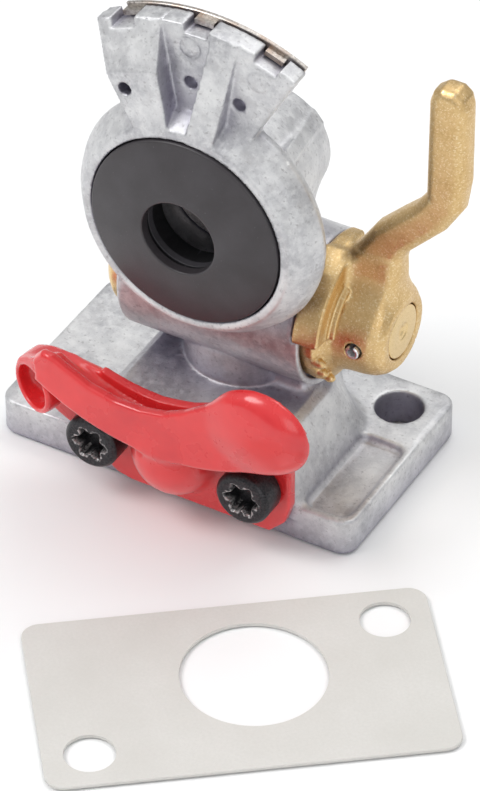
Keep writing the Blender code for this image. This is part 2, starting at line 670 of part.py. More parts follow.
def make_claw(mat):
    claw = claw_plate()
    lobe = ellipsoid("lobe", (28.2, -36.4, 38.0), (11.6, 5.0, 10.4))
    trim = prism("trim", [(-60.0, -20.0), (60.0, -20.0), (60.0, 70.0), (-60.0, 70.0)],
                 "Y", CLAW_BACK, 5.0)
    open_end = prism("open_end", [(CLAW_RIGHT, -5.0), (60.0, -5.0), (60.0, 60.0),
                                  (CLAW_RIGHT, 60.0)], "Y", CHANNEL_FRONT, CHANNEL_BACK)
    combine(claw, [claw_front_wall(), claw_floor(), claw_chin(), lobe, claw_hood(),
                   claw_roof()], "UNION")
    cutters = [claw_channel_space(), open_end, trim]
    for x in SCREW_X:
        centre = (x, 0.0, SCREW_Z)
        cutters.append(rod("clearance", SCREW_RADIUS + 0.5, "Y", centre, -40.0, -20.0, 20))
        cutters.append(rod("head_room", 7.2, "Y", centre, -50.0, CLAW_BACK - CLAW_PLATE, 28))
    combine(claw, cutters, "DIFFERENCE")
    claw.name = "claw"
    return finish(claw, mat)


def make_claw_screw(name, x, mat):
    """M8 cap screw with a six-lobed socket."""
    seat = CLAW_BACK - CLAW_PLATE - GAP
    head_front = seat - SCREW_HEAD
    centre = (x, 0.0, SCREW_Z)
    profile = [(0.0, head_front), (SCREW_HEAD_RADIUS - 0.8, head_front),
               (SCREW_HEAD_RADIUS, head_front + 0.8), (SCREW_HEAD_RADIUS, seat),
               (SCREW_RADIUS, seat), (SCREW_RADIUS, FRONT_Y + SCREW_REACH - 0.8),
               (SCREW_RADIUS - 0.8, FRONT_Y + SCREW_REACH), (0.0, FRONT_Y + SCREW_REACH)]
    screw = turned(name, profile, "Y", centre, 28)
    lobes = []
    for k in range(24):
        angle = 2 * math.pi * k / 24
        radius = 3.4 + 0.55 * math.cos(6 * angle)
        lobes.append((x + radius * math.cos(angle), SCREW_Z + radius * math.sin(angle)))
    socket = prism("socket", lobes, "Y", head_front - 1.0, head_front + 3.6)
    combine(screw, [socket], "DIFFERENCE")
    return finish(screw, mat)


# ---- gasket -------------------------------------------------------------------------
def make_gasket(mat):
    """Loose flange gasket, lying flat in front of the fitting."""
    half_x, half_y = GASKET_LENGTH / 2, BASE_WIDTH / 2
    outline = rounded_rectangle(-half_x, half_x, -half_y, half_y, [BASE_CORNER] * 4)
    gasket = prism("gasket", outline, "Z", 0.0, GASKET_THICK)
    cutters = [rod("port", GASKET_PORT_RADIUS, "Z", (PORT_X, PORT_Y, 0.0), -1.0, 2.0, 40)]
    for side in (1, -1):
        centre = (side * BOLT_X, side * BOLT_Y, 0.0)
        cutters.append(rod("bolt_hole", BOLT_RADIUS, "Z", centre, -1.0, 2.0, 32))
    combine(gasket, cutters, "DIFFERENCE")
    finish(gasket, mat, smooth=False)
    gasket.rotation_euler = (0.0, 0.0, math.radians(GASKET_TURN))
    gasket.location = Vector((GASKET_X, GASKET_Y, 0.0)) * MM
    return gasket


def move_to_frame():
    """Shift every unparented piece so that the frame's origin is at zero."""
    shift = Vector((-ORIGIN_X, -ORIGIN_Y, 0.0)) * MM
    for obj in bpy.data.objects:
        if obj.parent is None:
            obj.location = obj.location + shift


def build():
    clear_scene()
    aluminium = material("cast_aluminium", (0.62, 0.62, 0.63), 0.42, 0.9)
    brass = material("cast_brass", (0.62, 0.43, 0.20), 0.45, 0.9)
    turned_brass = material("turned_brass", (0.70, 0.52, 0.26), 0.3, 1.0)
    red = material("red_paint", (0.75, 0.03, 0.03), 0.35, 0.0)
    black_steel = material("black_steel", (0.03, 0.03, 0.035), 0.35, 0.6)
    steel = material("spring_steel", (0.45, 0.42, 0.38), 0.35, 1.0)
    rubber = material("black_rubber", (0.03, 0.028, 0.03), 0.5, 0.0)
    plastic = material("black_plastic", (0.02, 0.02, 0.02), 0.4, 0.0)
    paper = material("gasket_board", (0.72, 0.69, 0.65), 0.7, 0.0)

    make_housing(aluminium)
    make_wear_plate(steel)
    make_face_seal(rubber)
    make_seal_ring(plastic)
    make_strainer(plastic)
    make_strainer_clip(steel)

    pivot = (HUB_END, COCK_Y, COCK_Z)
    plug = make_plug(turned_brass, pivot)
    pieces = make_plug_rings(rubber, pivot)
    pieces += [make_handle(brass, pivot), make_roll_pin(steel, pivot)]
    for piece in pieces:
        piece.parent = plug
        piece.location = (0.0, 0.0, 0.0)
    make_thrust_washer(plastic)
    make_end_cap(turned_brass)
    make_cap_ring(rubber)
    make_spring(steel)

    make_claw(red)
    for name, x in zip(("claw_screw_left", "claw_screw_right"), SCREW_X):
        make_claw_screw(name, x, black_steel)
    make_gasket(paper)
    move_to_frame()


build()
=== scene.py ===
"""Looks of the coupling head: cast pieces as smooth solids of distance fields, turned pieces
as fine lathe meshes, and procedural materials.  Sizes are millimetres until place()."""
import math

import bmesh
import bpy
import numpy as np
import openvdb as vdb
from mathutils import Matrix, Vector

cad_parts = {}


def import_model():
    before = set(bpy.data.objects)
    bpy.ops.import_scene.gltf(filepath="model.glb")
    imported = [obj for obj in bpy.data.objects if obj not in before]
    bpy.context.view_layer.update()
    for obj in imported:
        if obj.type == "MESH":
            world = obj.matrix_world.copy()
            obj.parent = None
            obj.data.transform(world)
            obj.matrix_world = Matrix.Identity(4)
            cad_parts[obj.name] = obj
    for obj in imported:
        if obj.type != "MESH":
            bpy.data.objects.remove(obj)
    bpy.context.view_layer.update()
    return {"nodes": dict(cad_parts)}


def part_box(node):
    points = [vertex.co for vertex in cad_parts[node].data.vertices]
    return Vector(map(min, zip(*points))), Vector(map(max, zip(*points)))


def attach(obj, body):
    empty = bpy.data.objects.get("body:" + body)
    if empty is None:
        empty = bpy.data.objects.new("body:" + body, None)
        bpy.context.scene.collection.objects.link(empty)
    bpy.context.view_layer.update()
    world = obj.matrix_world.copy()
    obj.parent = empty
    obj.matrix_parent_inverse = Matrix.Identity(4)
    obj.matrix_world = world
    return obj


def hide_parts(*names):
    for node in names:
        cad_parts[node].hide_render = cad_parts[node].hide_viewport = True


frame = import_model()

MM = 0.001
GAP = 0.3                      # between pieces that touch
FAR = 60.0                     # beyond every piece, for cutting shapes
EMPTY = 6.0                    # distance given to grid points far from every shape

BASE_LEFT, BASE_RIGHT, BASE_WIDTH, BASE_THICK = -45.1, 43.5, 50.2, 9.1
BOLT_X, BOLT_Y, BOLT_RADIUS = 33.5, 15.8, 5.5
FRONT_Y = -BASE_WIDTH / 2
HEAD_X, HEAD_Z = 3.0, 73.7
SEAL_Y, SEAL_RADIUS, SEAL_BORE, SEAL_CONE = -25.0, 22.5, 8.7, 2.5
SECTOR_RADIUS, SECTOR_HALF_ANGLE = 49.0, 28.5
SECTOR_FRONT, SECTOR_BACK = -20.0, -15.0
COCK_Y, COCK_Z = 2.3, 42.8
TUBE_RADIUS, TUBE_LEFT, TUBE_RIGHT = 17.5, -20.5, 23.0
STOP_LIP_RADIUS, STOP_LIP_START, STOP_LIP_END = 15.9, 172.5, 331.0
NECK_RADIUS, AIR_WAY_RADIUS = 14.1, 5.5
CAP_BORE, PLUG_BORE, SPINDLE_BORE = 13.3, 10.5, 6.5
SCREW_X, SCREW_Z, SCREW_RADIUS, SCREW_REACH = (-15.5, 22.2), 15.0, 3.9, 16.0
CLAW_BACK, CLAW_PLATE = FRONT_Y - GAP, 3.0
SCREW_HEAD_RADIUS, SCREW_HEAD = 6.5, 6.3
CHANNEL_RADIUS, CHANNEL_FRONT, CHANNEL_BACK, CLAW_FRONT = 49.6, -36.2, -28.0, -38.6
CLAW_RIGHT = 33.0
CLAW_FOOT = 2.7
HOOD_CENTRE, HOOD_RADII, HOOD_WALL = (-29.9, -31.5, 24.5), (6.6, 9.7, 6.5), 1.4
SPINDLE_RADIUS = 6.2
NOTCH_ANGLES, NOTCH_RADIUS, NOTCH_HALF_ANGLE = (-21.0, 0.0, 20.0), 46.9, 3.4
SMALL_HOLE_ANGLES, SMALL_HOLE_REACH, SMALL_HOLE_RADIUS = (-24.0, -2.1, 17.0), 34.7, 1.5
STAMP_REACH = 43.3             # a ring and a disc cast into the sector's front
STRIP_START, STRIP_END, STRIP_OUTER, STRIP_INNER = -23.4, 27.8, 49.3, 43.2
HUB_START, HUB_END = 23.4, 41.0
WING_RADIUS, RIM_RADIUS = 18.4, 18.2
LEVER_FRONT, LEVER_BACK = -1.2, 5.8
CAST_BUMP_REACH = 14.6         # rough cast skin below the pin, about the cock's axis
PIN_X, PIN_RADIUS = 34.8, 1.6
BLOCK_TOP = 23.5
PORT_X, PORT_Y, PORT_RADIUS, PORT_DEPTH = 3.5, 3.0, 12.0, 14.0
GASKET_THICK, GASKET_LENGTH, GASKET_PORT_RADIUS = 0.8, 87.0, 15.8
GASKET_X, GASKET_Y, GASKET_TURN = 43.0, -72.0, 38.0

# The casting's own zero lies under its flange, midway between the bolt holes.
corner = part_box("housing")[0]
OFFSET = Vector((corner[0] - BASE_LEFT * MM, corner[1] + BASE_WIDTH / 2 * MM, 0.0))


def place(points):
    """Millimetres from the casting's zero to metres in the frame."""
    return np.asarray(points, dtype=float) * MM + np.array(OFFSET)


# ---- distance fields ----------------------------------------------------------------
def smooth_min(a, b, k):
    """Union of two distances with a fillet about k wide."""
    if k <= 0.0:
        return np.minimum(a, b)
    h = np.clip(0.5 + 0.5 * (b - a) / k, 0.0, 1.0)
    return b + (a - b) * h - k * h * (1.0 - h)


def polygon_distance(u, v, outline):
    """Signed distance of every (u, v) to a closed outline, negative inside."""
    best = np.full(np.broadcast(u, v).shape, 1e9)
    inside = np.zeros(best.shape, dtype=bool)
    count = len(outline)
    for i in range(count):
        (x0, y0), (x1, y1) = outline[i], outline[(i + 1) % count]
        ex, ey = x1 - x0, y1 - y0
        wx, wy = u - x0, v - y0
        t = np.clip((wx * ex + wy * ey) / (ex * ex + ey * ey + 1e-12), 0.0, 1.0)
        best = np.minimum(best, (wx - t * ex) ** 2 + (wy - t * ey) ** 2)
        if abs(ey) > 1e-12:
            crosses = ((y0 > v) != (y1 > v)) & (u < x0 + (v - y0) * ex / ey)
            inside ^= crosses
    return np.where(inside, -1.0, 1.0) * np.sqrt(best)


def extruded(outline, axis, low, high, rounding=0.0):
    """Outline in the two other axes, in the order X, Y, Z, carried from low to high."""
    points = np.array(outline)
    k = "XYZ".index(axis)
    low_corner = np.insert(points.min(axis=0), k, low)
    high_corner = np.insert(points.max(axis=0), k, high)

    def distance(x, y, z):
        h = (x, y, z)[k]
        u, v = [c for i, c in enumerate((x, y, z)) if i != k]
        flat = polygon_distance(u, v, outline) + rounding
        over = np.abs(h - (low + high) / 2) - (high - low) / 2 + rounding
        outside = np.sqrt(np.maximum(flat, 0.0) ** 2 + np.maximum(over, 0.0) ** 2)
        return outside + np.minimum(np.maximum(flat, over), 0.0) - rounding
    return distance, low_corner, high_corner


def revolved(profile, axis, centre):
    """Turned body of a closed (radius, along) profile; touching radius 0 makes it full."""
    k = "XYZ".index(axis)
    radius = max(r for r, _ in profile)
    along = [h for _, h in profile]
    low_corner = np.array(centre, dtype=float) - radius
    high_corner = np.array(centre, dtype=float) + radius
    low_corner[k], high_corner[k] = min(along), max(along)
    outline = list(profile)
    if profile[0][0] == 0.0:
        outline += [(-r, h) for r, h in reversed(profile[1:-1])]

    def distance(x, y, z):
        coords = (x, y, z)
        u, v = [c - centre[i] for i, c in enumerate(coords) if i != k]
        reach = np.sqrt(u * u + v * v)
        steps = np.arange(0.0, reach.max() + 0.2, 0.1)
        heights = coords[k].ravel()
        table = polygon_distance(steps[None, :], heights[:, None], outline)
        result = np.empty(np.broadcast(x, y, z).shape)
        flat_reach = np.squeeze(reach, axis=k)
        for i in range(len(heights)):
            layer = np.interp(flat_reach, steps, table[i])
            if k == 0:
                result[i] = layer
            elif k == 1:
                result[:, i] = layer
            else:
                result[:, :, i] = layer
        return result
    return distance, low_corner, high_corner


def bar(radius, axis, centre, low, high):
    return revolved([(0.0, low), (radius, low), (radius, high), (0.0, high)], axis, centre)


def ellipsoid(centre, radii):
    centre, radii = np.array(centre, dtype=float), np.array(radii, dtype=float)

    def distance(x, y, z):
        p = [(c - m) for c, m in zip((x, y, z), centre)]
        k0 = np.sqrt(sum((q / r) ** 2 for q, r in zip(p, radii)))
        k1 = np.sqrt(sum((q / (r * r)) ** 2 for q, r in zip(p, radii))) + 1e-9
        return k0 * (k0 - 1.0) / k1
    return distance, centre - radii, centre + radii


def tapered(levels, low, high):
    """Block whose rounded-rectangle section changes with height.

    Each level is (z, x0, x1, y0, y1, front corner radius, back corner radius).
    """
    table = np.array(levels)

    def distance(x, y, z):
        at = [np.interp(z, table[:, 0], table[:, i]) for i in range(1, 7)]
        x0, x1, y0, y1, front, back = at
        cx, cy = (x0 + x1) / 2, (y0 + y1) / 2
        r = np.where(y > cy, back, front)
        qx = np.abs(x - cx) - (x1 - x0) / 2 + r
        qy = np.abs(y - cy) - (y1 - y0) / 2 + r
        flat = np.sqrt(np.maximum(qx, 0.0) ** 2 + np.maximum(qy, 0.0) ** 2)
        flat = flat + np.minimum(np.maximum(qx, qy), 0.0) - r
        over = np.maximum(table[0, 0] - z, z - table[-1, 0])
        return np.maximum(flat * 0.9, over)
    return distance, np.array(low, dtype=float), np.array(high, dtype=float)


class Field:
    """Signed distances in millimetres on a grid, negative inside the solid."""
    MARGIN = 3.0               # how far past its box a shape is worked out

    def __init__(self, low, high, step):
        self.low, self.step = np.array(low, dtype=float), step
        counts = np.ceil((np.array(high) - self.low) / step).astype(int) + 1
        self.axes = [self.low[i] + step * np.arange(n) for i, n in enumerate(counts)]
        self.values = np.full(tuple(counts), EMPTY)

    def window(self, low, high, pad):
        cuts, coords = [], []
        for i, axis in enumerate(self.axes):
            first = int(np.searchsorted(axis, low[i] - pad))
            last = int(np.searchsorted(axis, high[i] + pad))
            cuts.append(slice(max(first, 0), min(last, len(axis))))
            shape = [1, 1, 1]
            shape[i] = -1
            coords.append(axis[cuts[-1]].reshape(shape))
        return tuple(cuts), coords

    def add(self, shape, blend=0.0):
        distance, low, high = shape
        cuts, coords = self.window(low, high, blend + self.MARGIN)
        self.values[cuts] = smooth_min(self.values[cuts], distance(*coords), blend)

    def cut(self, shape, blend=0.0):
        distance, low, high = shape
        cuts, coords = self.window(low, high, blend + self.MARGIN)
        self.values[cuts] = -smooth_min(-self.values[cuts], distance(*coords), blend)

    def mesh(self, name, adaptivity=0.0):
        grid = vdb.FloatGrid(EMPTY)
        grid.copyFromArray(self.values.astype(np.float32))
        points, triangles, quads = grid.convertToPolygons(isovalue=0.0, adaptivity=adaptivity)
        faces = [list(map(int, f))[::-1] for f in triangles]
        faces += [list(map(int, f))[::-1] for f in quads]
        mesh = bpy.data.meshes.new(name)
        mesh.from_pydata(place(points * self.step + self.low).tolist(), [], faces)
        mesh.validate()
        mesh.shade_smooth()
        obj = bpy.data.objects.new(name, mesh)
        bpy.context.collection.objects.link(obj)
        return obj


def arc(centre, radius, start, end, steps):
    angles = [math.radians(start + (end - start) * k / steps) for k in range(steps + 1)]
    return [(centre[0] + radius * math.cos(a), centre[1] + radius * math.sin(a)) for a in angles]


def head_arc(radius, start, end, steps):
    """Points about the seal axis; angles in degrees to the right of straight up."""
    return arc((HEAD_X, HEAD_Z), radius, 90 - start, 90 - end, steps)


def rounded_rectangle(x0, x1, y0, y1, radius, steps=8):
    corners = [(x0, y0, 1, 1), (x1, y0, -1, 1), (x1, y1, -1, -1), (x0, y1, 1, -1)]
    outline = []
    for index, (x, y, sx, sy) in enumerate(corners):
        for k in range(steps + 1):
            angle = math.radians(180 + 90 * index + 90 * k / steps)
            outline.append((x + sx * radius + radius * math.cos(angle),
                            y + sy * radius + radius * math.sin(angle)))
    return outline


def radial_slab(profile, middle, half):
    """Slab across a direction about the seal axis: its (radius, y) outline, its half width."""
    angle = math.radians(middle)
    radii = [r for r, _ in profile]
    reach = max(radii) + half
    depth = [y for _, y in profile]
    low = (HEAD_X - reach, min(depth), HEAD_Z - reach)
    high = (HEAD_X + reach, max(depth), HEAD_Z + reach)

    def distance(x, y, z):
        along = (x - HEAD_X) * math.sin(angle) + (z - HEAD_Z) * math.cos(angle)
        across = (x - HEAD_X) * math.cos(angle) - (z - HEAD_Z) * math.sin(angle)
        shape = np.broadcast(x, y, z).shape
        steps_r = np.arange(along.min() - 0.2, along.max() + 0.4, 0.2)
        table = polygon_distance(steps_r[None, :], y.ravel()[:, None], profile)
        result = np.empty(shape)
        flat = along[:, 0, :]
        for i in range(shape[1]):
            result[:, i] = np.interp(flat, steps_r, table[i])
        over = np.abs(across) - half
        outside = np.sqrt(np.maximum(result, 0.0) ** 2 + np.maximum(over, 0.0) ** 2)
        return outside + np.minimum(np.maximum(result, over), 0.0)
    return distance, np.array(low, dtype=float), np.array(high, dtype=float)


# ---- cast housing -------------------------------------------------------------------
def housing_field(step):
    f = Field((-46.5, -26.5, -1.5), (45.0, 26.5, 124.0), step)
    add_flange_and_tube(f)
    top = Field(f.low, (45.0, 26.5, 124.0), step)
    add_head_and_sector(top)
    f.values = smooth_min(f.values, top.values, 1.8)
    cut_air_ways(f)
    cut_flange(f)
    cut_sector(f)
    return f


def add_flange_and_tube(f):
    """Flange, sloped block, pedestal, cross tube for the cock, neck and stop lip."""
    half_y = BASE_WIDTH / 2
    f.add(extruded(rounded_rectangle(BASE_LEFT, BASE_RIGHT, -half_y, half_y, 4.0), "Z",
                   0.0, BASE_THICK, 0.7))
    f.add(tapered([(BASE_THICK - 3.0, -24.5, 30.6, FRONT_Y, 14.0, 2.0, 12.0),
                   (BASE_THICK, -24.5, 30.6, FRONT_Y, 14.0, 2.0, 12.0),
                   (BLOCK_TOP - 1.2, -17.5, 25.0, FRONT_Y, 7.0, 3.0, 9.0),
                   (BLOCK_TOP, -15.5, 23.0, FRONT_Y + 1.6, 5.0, 3.0, 8.0)],
                  (-25.0, FRONT_Y, BASE_THICK - 3.0), (31.0, 14.0, BLOCK_TOP)), 1.6)
    outline = rounded_rectangle(-9.0, 21.6, COCK_Y - 8.0, COCK_Y + 10.3, 2.0)
    f.add(extruded(outline, "Z", BASE_THICK - 3.0, COCK_Z - 8.0, 1.5), 3.0)
    centre = (0.0, COCK_Y, COCK_Z)
    f.add(revolved([(0.0, TUBE_LEFT), (TUBE_RADIUS - 0.8, TUBE_LEFT),
                    (TUBE_RADIUS, TUBE_LEFT + 0.8), (TUBE_RADIUS, TUBE_RIGHT - 0.5),
                    (TUBE_RADIUS - 0.5, TUBE_RIGHT), (0.0, TUBE_RIGHT)], "X", centre), 1.6)
    f.add(bar(NECK_RADIUS, "Z", (HEAD_X, COCK_Y, 0.0), BLOCK_TOP - 6.0, HEAD_Z - 6.0), 0.5)
    lip = arc((COCK_Y, COCK_Z), TUBE_RADIUS, STOP_LIP_START, STOP_LIP_END, 40)
    lip += arc((COCK_Y, COCK_Z), STOP_LIP_RADIUS, STOP_LIP_END, STOP_LIP_START, 40)
    f.add(extruded(lip, "X", TUBE_RIGHT - 1.0, TUBE_RIGHT + 1.6, 0.35))


def add_head_and_sector(top):
    """Round head with its rear boss, and the sector with its thick end, rib and gusset."""
    head = [(0.0, SEAL_Y), (24.6, SEAL_Y), (25.1, SEAL_Y + 0.4), (27.8, -21.0), (29.2, -17.6),
            (28.9, -16.0), (27.2, -14.2), (21.5, -10.8), (16.2, -8.6), (15.6, 2.4),
            (13.4, 14.0), (12.4, 15.0), (0.0, 15.0)]
    top.add(revolved(head, "Y", (HEAD_X, 0.0, HEAD_Z)))
    sector = head_arc(SECTOR_RADIUS, -SECTOR_HALF_ANGLE, SECTOR_HALF_ANGLE, 48)
    sector += [(HEAD_X + 7.0, HEAD_Z + 15.0), (HEAD_X - 7.0, HEAD_Z + 15.0)]
    top.add(extruded(sector, "Y", SECTOR_FRONT, SECTOR_BACK, 0.3), 0.9)
    top.add(sector_boss_shape(), 0.5)
    rib = [(22.0, -17.0), (22.0, SEAL_Y + 0.02), (27.0, SEAL_Y + 0.02),
           (48.8, SECTOR_FRONT - 0.1), (48.8, -17.0)]
    top.add(radial_slab(rib, 8.3, 3.1), 0.7)
    top.add(gusset_shape(), 1.6)


def cut_air_ways(f):
    """Seal's seat, the way down to the cock, and the cock's stepped bore."""
    seat = [(0.0, SEAL_Y - 2.0), (SEAL_RADIUS + GAP, SEAL_Y - 2.0), (SEAL_RADIUS + GAP, -18.6),
            (13.0, -18.6), (13.0, -6.0), (9.0, -6.0), (9.0, 8.3), (0.0, 8.3)]
    f.cut(revolved(seat, "Y", (HEAD_X, 0.0, HEAD_Z)), 0.3)
    f.cut(bar(AIR_WAY_RADIUS, "Z", (HEAD_X, COCK_Y, 0.0), 8.0, HEAD_Z))
    bore = [(0.0, TUBE_LEFT - 1.0), (CAP_BORE, TUBE_LEFT - 1.0), (CAP_BORE, -12.5),
            (PLUG_BORE, -12.5), (PLUG_BORE, 14.4), (SPINDLE_BORE, 14.4),
            (SPINDLE_BORE, TUBE_RIGHT + 3.0), (0.0, TUBE_RIGHT + 3.0)]
    f.cut(revolved(bore, "X", (0.0, COCK_Y, COCK_Z)), 0.3)


def cut_flange(f):
    """Blind pocket, air port, bolt holes and the holes for the claw's screws."""
    pocket = tapered([(7.2, 31.7, 40.3, -21.4, 2.9, 1.5, 1.5),
                      (7.5, 31.0, 41.0, -22.1, 3.6, 2.2, 2.2),
                      (8.2, 30.5, 41.5, -22.6, 4.1, 2.6, 2.6),
                      (BASE_THICK + 5.0, 30.2, 41.8, -22.9, 4.4, 2.8, 2.8)],
                     (30.2, -22.9, 7.2), (41.8, 4.4, BASE_THICK + 1.0))
    f.cut(pocket, 0.9)
    f.cut(bar(PORT_RADIUS, "Z", (PORT_X, PORT_Y, 0.0), -1.0, PORT_DEPTH), 0.3)
    for side in (1, -1):
        f.cut(bar(BOLT_RADIUS, "Z", (side * BOLT_X, side * BOLT_Y, 0.0), -1.0, 29.0), 0.5)
    for x in SCREW_X:
        f.cut(bar(SCREW_RADIUS + GAP, "Y", (x, 0.0, SCREW_Z), FRONT_Y - 1.0,
                  FRONT_Y + SCREW_REACH + 1.5))


def cut_sector(f):
    """Rim notches, small holes, and the shallow ring and disc on the sector's front."""
    before, behind = SECTOR_FRONT - 7.0, SECTOR_BACK + 2.0
    for angle in NOTCH_ANGLES:
        outline = head_arc(52.0, angle - NOTCH_HALF_ANGLE, angle + NOTCH_HALF_ANGLE, 4)
        outline += head_arc(NOTCH_RADIUS, angle + 3.5, angle - 3.5, 4)
        f.cut(extruded(outline, "Y", before, behind), 0.3)
    for angle in SMALL_HOLE_ANGLES:
        (x, z), _ = head_arc(SMALL_HOLE_REACH, angle, angle, 1)
        f.cut(bar(SMALL_HOLE_RADIUS, "Y", (x, 0.0, z), before, behind), 0.25)
    (x, z), _ = head_arc(STAMP_REACH, -2.2, -2.2, 1)
    f.cut(revolved([(2.15, SECTOR_FRONT - 1.0), (2.6, SECTOR_FRONT - 1.0),
                    (2.6, SECTOR_FRONT + 0.35), (2.15, SECTOR_FRONT + 0.35)],
                   "Y", (x, 0.0, z)), 0.15)
    (x, z), _ = head_arc(STAMP_REACH, 20.0, 20.0, 1)
    f.add(bar(2.4, "Y", (x, 0.0, z), SECTOR_FRONT - 0.3, SECTOR_FRONT + 1.0), 0.25)


def sector_boss_shape():
    """Thick left end of the sector with a sloping top."""
    profile = [(20.0, -17.0), (20.0, SEAL_Y + 0.02), (38.4, SEAL_Y + 0.02),
               (48.6, SECTOR_FRONT), (48.6, -17.0)]
    wedge = head_arc(60.0, -SECTOR_HALF_ANGLE, -9.6, 4) + [(HEAD_X, HEAD_Z)]
    slab, _, _ = radial_slab(profile, (-SECTOR_HALF_ANGLE - 9.6) / 2, 40.0)
    side, _, _ = extruded(wedge, "Y", -40.0, 10.0)

    def distance(x, y, z):
        return np.maximum(slab(x, y, z), side(x, y, z))
    low = np.array((HEAD_X - 32.0, -26.0, HEAD_Z + 12.0))
    high = np.array((HEAD_X, -16.0, HEAD_Z + 52.0))
    return distance, low, high


def gusset_shape():
    """Web behind the sector's right side, running down along the rear boss."""
    angle = math.radians(50.0)
    stations = (-14.5, -8.0, 14.2)

    def distance(x, y, z):
        along = (x - HEAD_X) * math.sin(angle) + (z - HEAD_Z) * math.cos(angle)
        across = (x - HEAD_X) * math.cos(angle) - (z - HEAD_Z) * math.sin(angle)
        top = np.interp(y, stations, (25.0, 19.5, 12.9))
        half = np.interp(y, stations, (3.6, 1.8, 1.3))
        over = np.maximum((along - top) * 0.85, 9.0 - along)
        over = np.maximum(over, np.abs(across) - half)
        return np.maximum(over, np.maximum(stations[0] - y, y - stations[-1]))
    low = np.array((HEAD_X, stations[0], HEAD_Z))
    high = np.array((HEAD_X + 24, stations[-1], HEAD_Z + 24))
    return distance, low, high


# ---- brass handle -------------------------------------------------------------------
def handle_field(step):
    f = Field((22.0, -18.5, 24.0), (58.0, 22.5, 116.5), step)
    centre = (0.0, COCK_Y, COCK_Z)
    hub = [(0.0, HUB_START), (15.4, HUB_START), (15.4, 27.0), (13.4, 28.2), (12.0, 29.8),
           (11.5, 32.0), (11.3, 35.5), (10.9, 37.8), (10.0, 39.6), (8.6, HUB_END),
           (0.0, HUB_END)]
    f.add(revolved(hub, "X", centre))
    wing = arc((COCK_Y, COCK_Z), WING_RADIUS, 171.0, 100.0, 30)
    wing += arc((COCK_Y, COCK_Z), 9.0, 100.0, 171.0, 20)
    f.add(extruded(wing, "X", HUB_START, 29.6, 0.5), 0.8)
    rim = arc((COCK_Y, COCK_Z), RIM_RADIUS, 62.5, 118.0, 24)
    rim += arc((COCK_Y, COCK_Z), 10.0, 118.0, 62.5, 16)
    f.add(extruded(rim, "X", HUB_START, 27.0, 0.8), 3.5)
    lever = [(27.8, 50.0), (27.6, 57.0), (29.6, 62.8), (34.4, 70.2), (39.4, 75.2), (43.8, 79.4),
             (46.4, 83.2), (46.5, 107.4), (47.3, 110.0), (49.4, 111.6), (52.7, 111.6),
             (54.8, 110.0), (55.5, 107.4),
             (55.6, 88.0), (54.6, 81.0), (51.0, 75.0), (42.6, 66.2), (40.6, 62.6), (40.0, 50.0)]
    f.add(extruded(lever, "Y", LEVER_FRONT, LEVER_BACK, 2.7), 3.5)
    f.add(tapered([(46.0, 26.0, 39.0, -5.6, 10.2, 2.2, 2.2),
                   (52.5, 26.4, 39.4, -4.2, 8.8, 2.2, 2.2),
                   (58.0, 28.2, 40.0, -1.6, 6.4, 2.0, 2.0),
                   (62.0, 31.0, 40.0, -0.6, 5.2, 2.0, 2.0)],
                  (26.0, -5.6, 46.0), (40.0, 10.2, 62.0)), 2.5)
    for radius, x in ((15.0, 29.9), (13.6, 31.2)):
        ridge = arc((COCK_Y, COCK_Z), radius, 168.0, 118.0, 20)
        ridge += arc((COCK_Y, COCK_Z), radius - 1.0, 118.0, 168.0, 20)
        f.add(extruded(ridge, "X", 27.0, x, 0.3), 0.5)
    f.cut(bar(SPINDLE_BORE, "X", centre, 22.0, HUB_END + 2.0), 0.3)
    f.cut(bar(PIN_RADIUS + GAP, "Y", (PIN_X, 0.0, COCK_Z), -20.0, 20.0), 0.3)
    for angle, x, size in ((188.0, 26.2, 1.5), (196.0, 28.2, 1.7), (203.0, 26.0, 1.3),
                           (212.0, 28.0, 1.6), (221.0, 26.4, 1.5), (229.0, 28.4, 1.4)):
        turn = math.radians(angle)
        f.add(ellipsoid((x, COCK_Y + CAST_BUMP_REACH * math.cos(turn),
                         COCK_Z + CAST_BUMP_REACH * math.sin(turn)),
                        (size, 1.0, size * 0.7)), 0.5)
    return f


# ---- red claw -----------------------------------------------------------------------
def claw_field(step):
    f = claw_grid(step)
    add_plate_and_channel(f)
    f.values = smooth_min(f.values, chin_field(step).values, 3.0)
    f.add(ellipsoid((28.2, -36.4, 38.0), (11.6, 5.0, 10.4)), 2.5)
    f.values = smooth_min(f.values, hood_field(step).values, 2.0)
    cut_channel_and_seats(f)
    return f


def claw_grid(step):
    return Field((-43.0, -43.5, 1.5), (40.6, -24.0, 49.5), step)


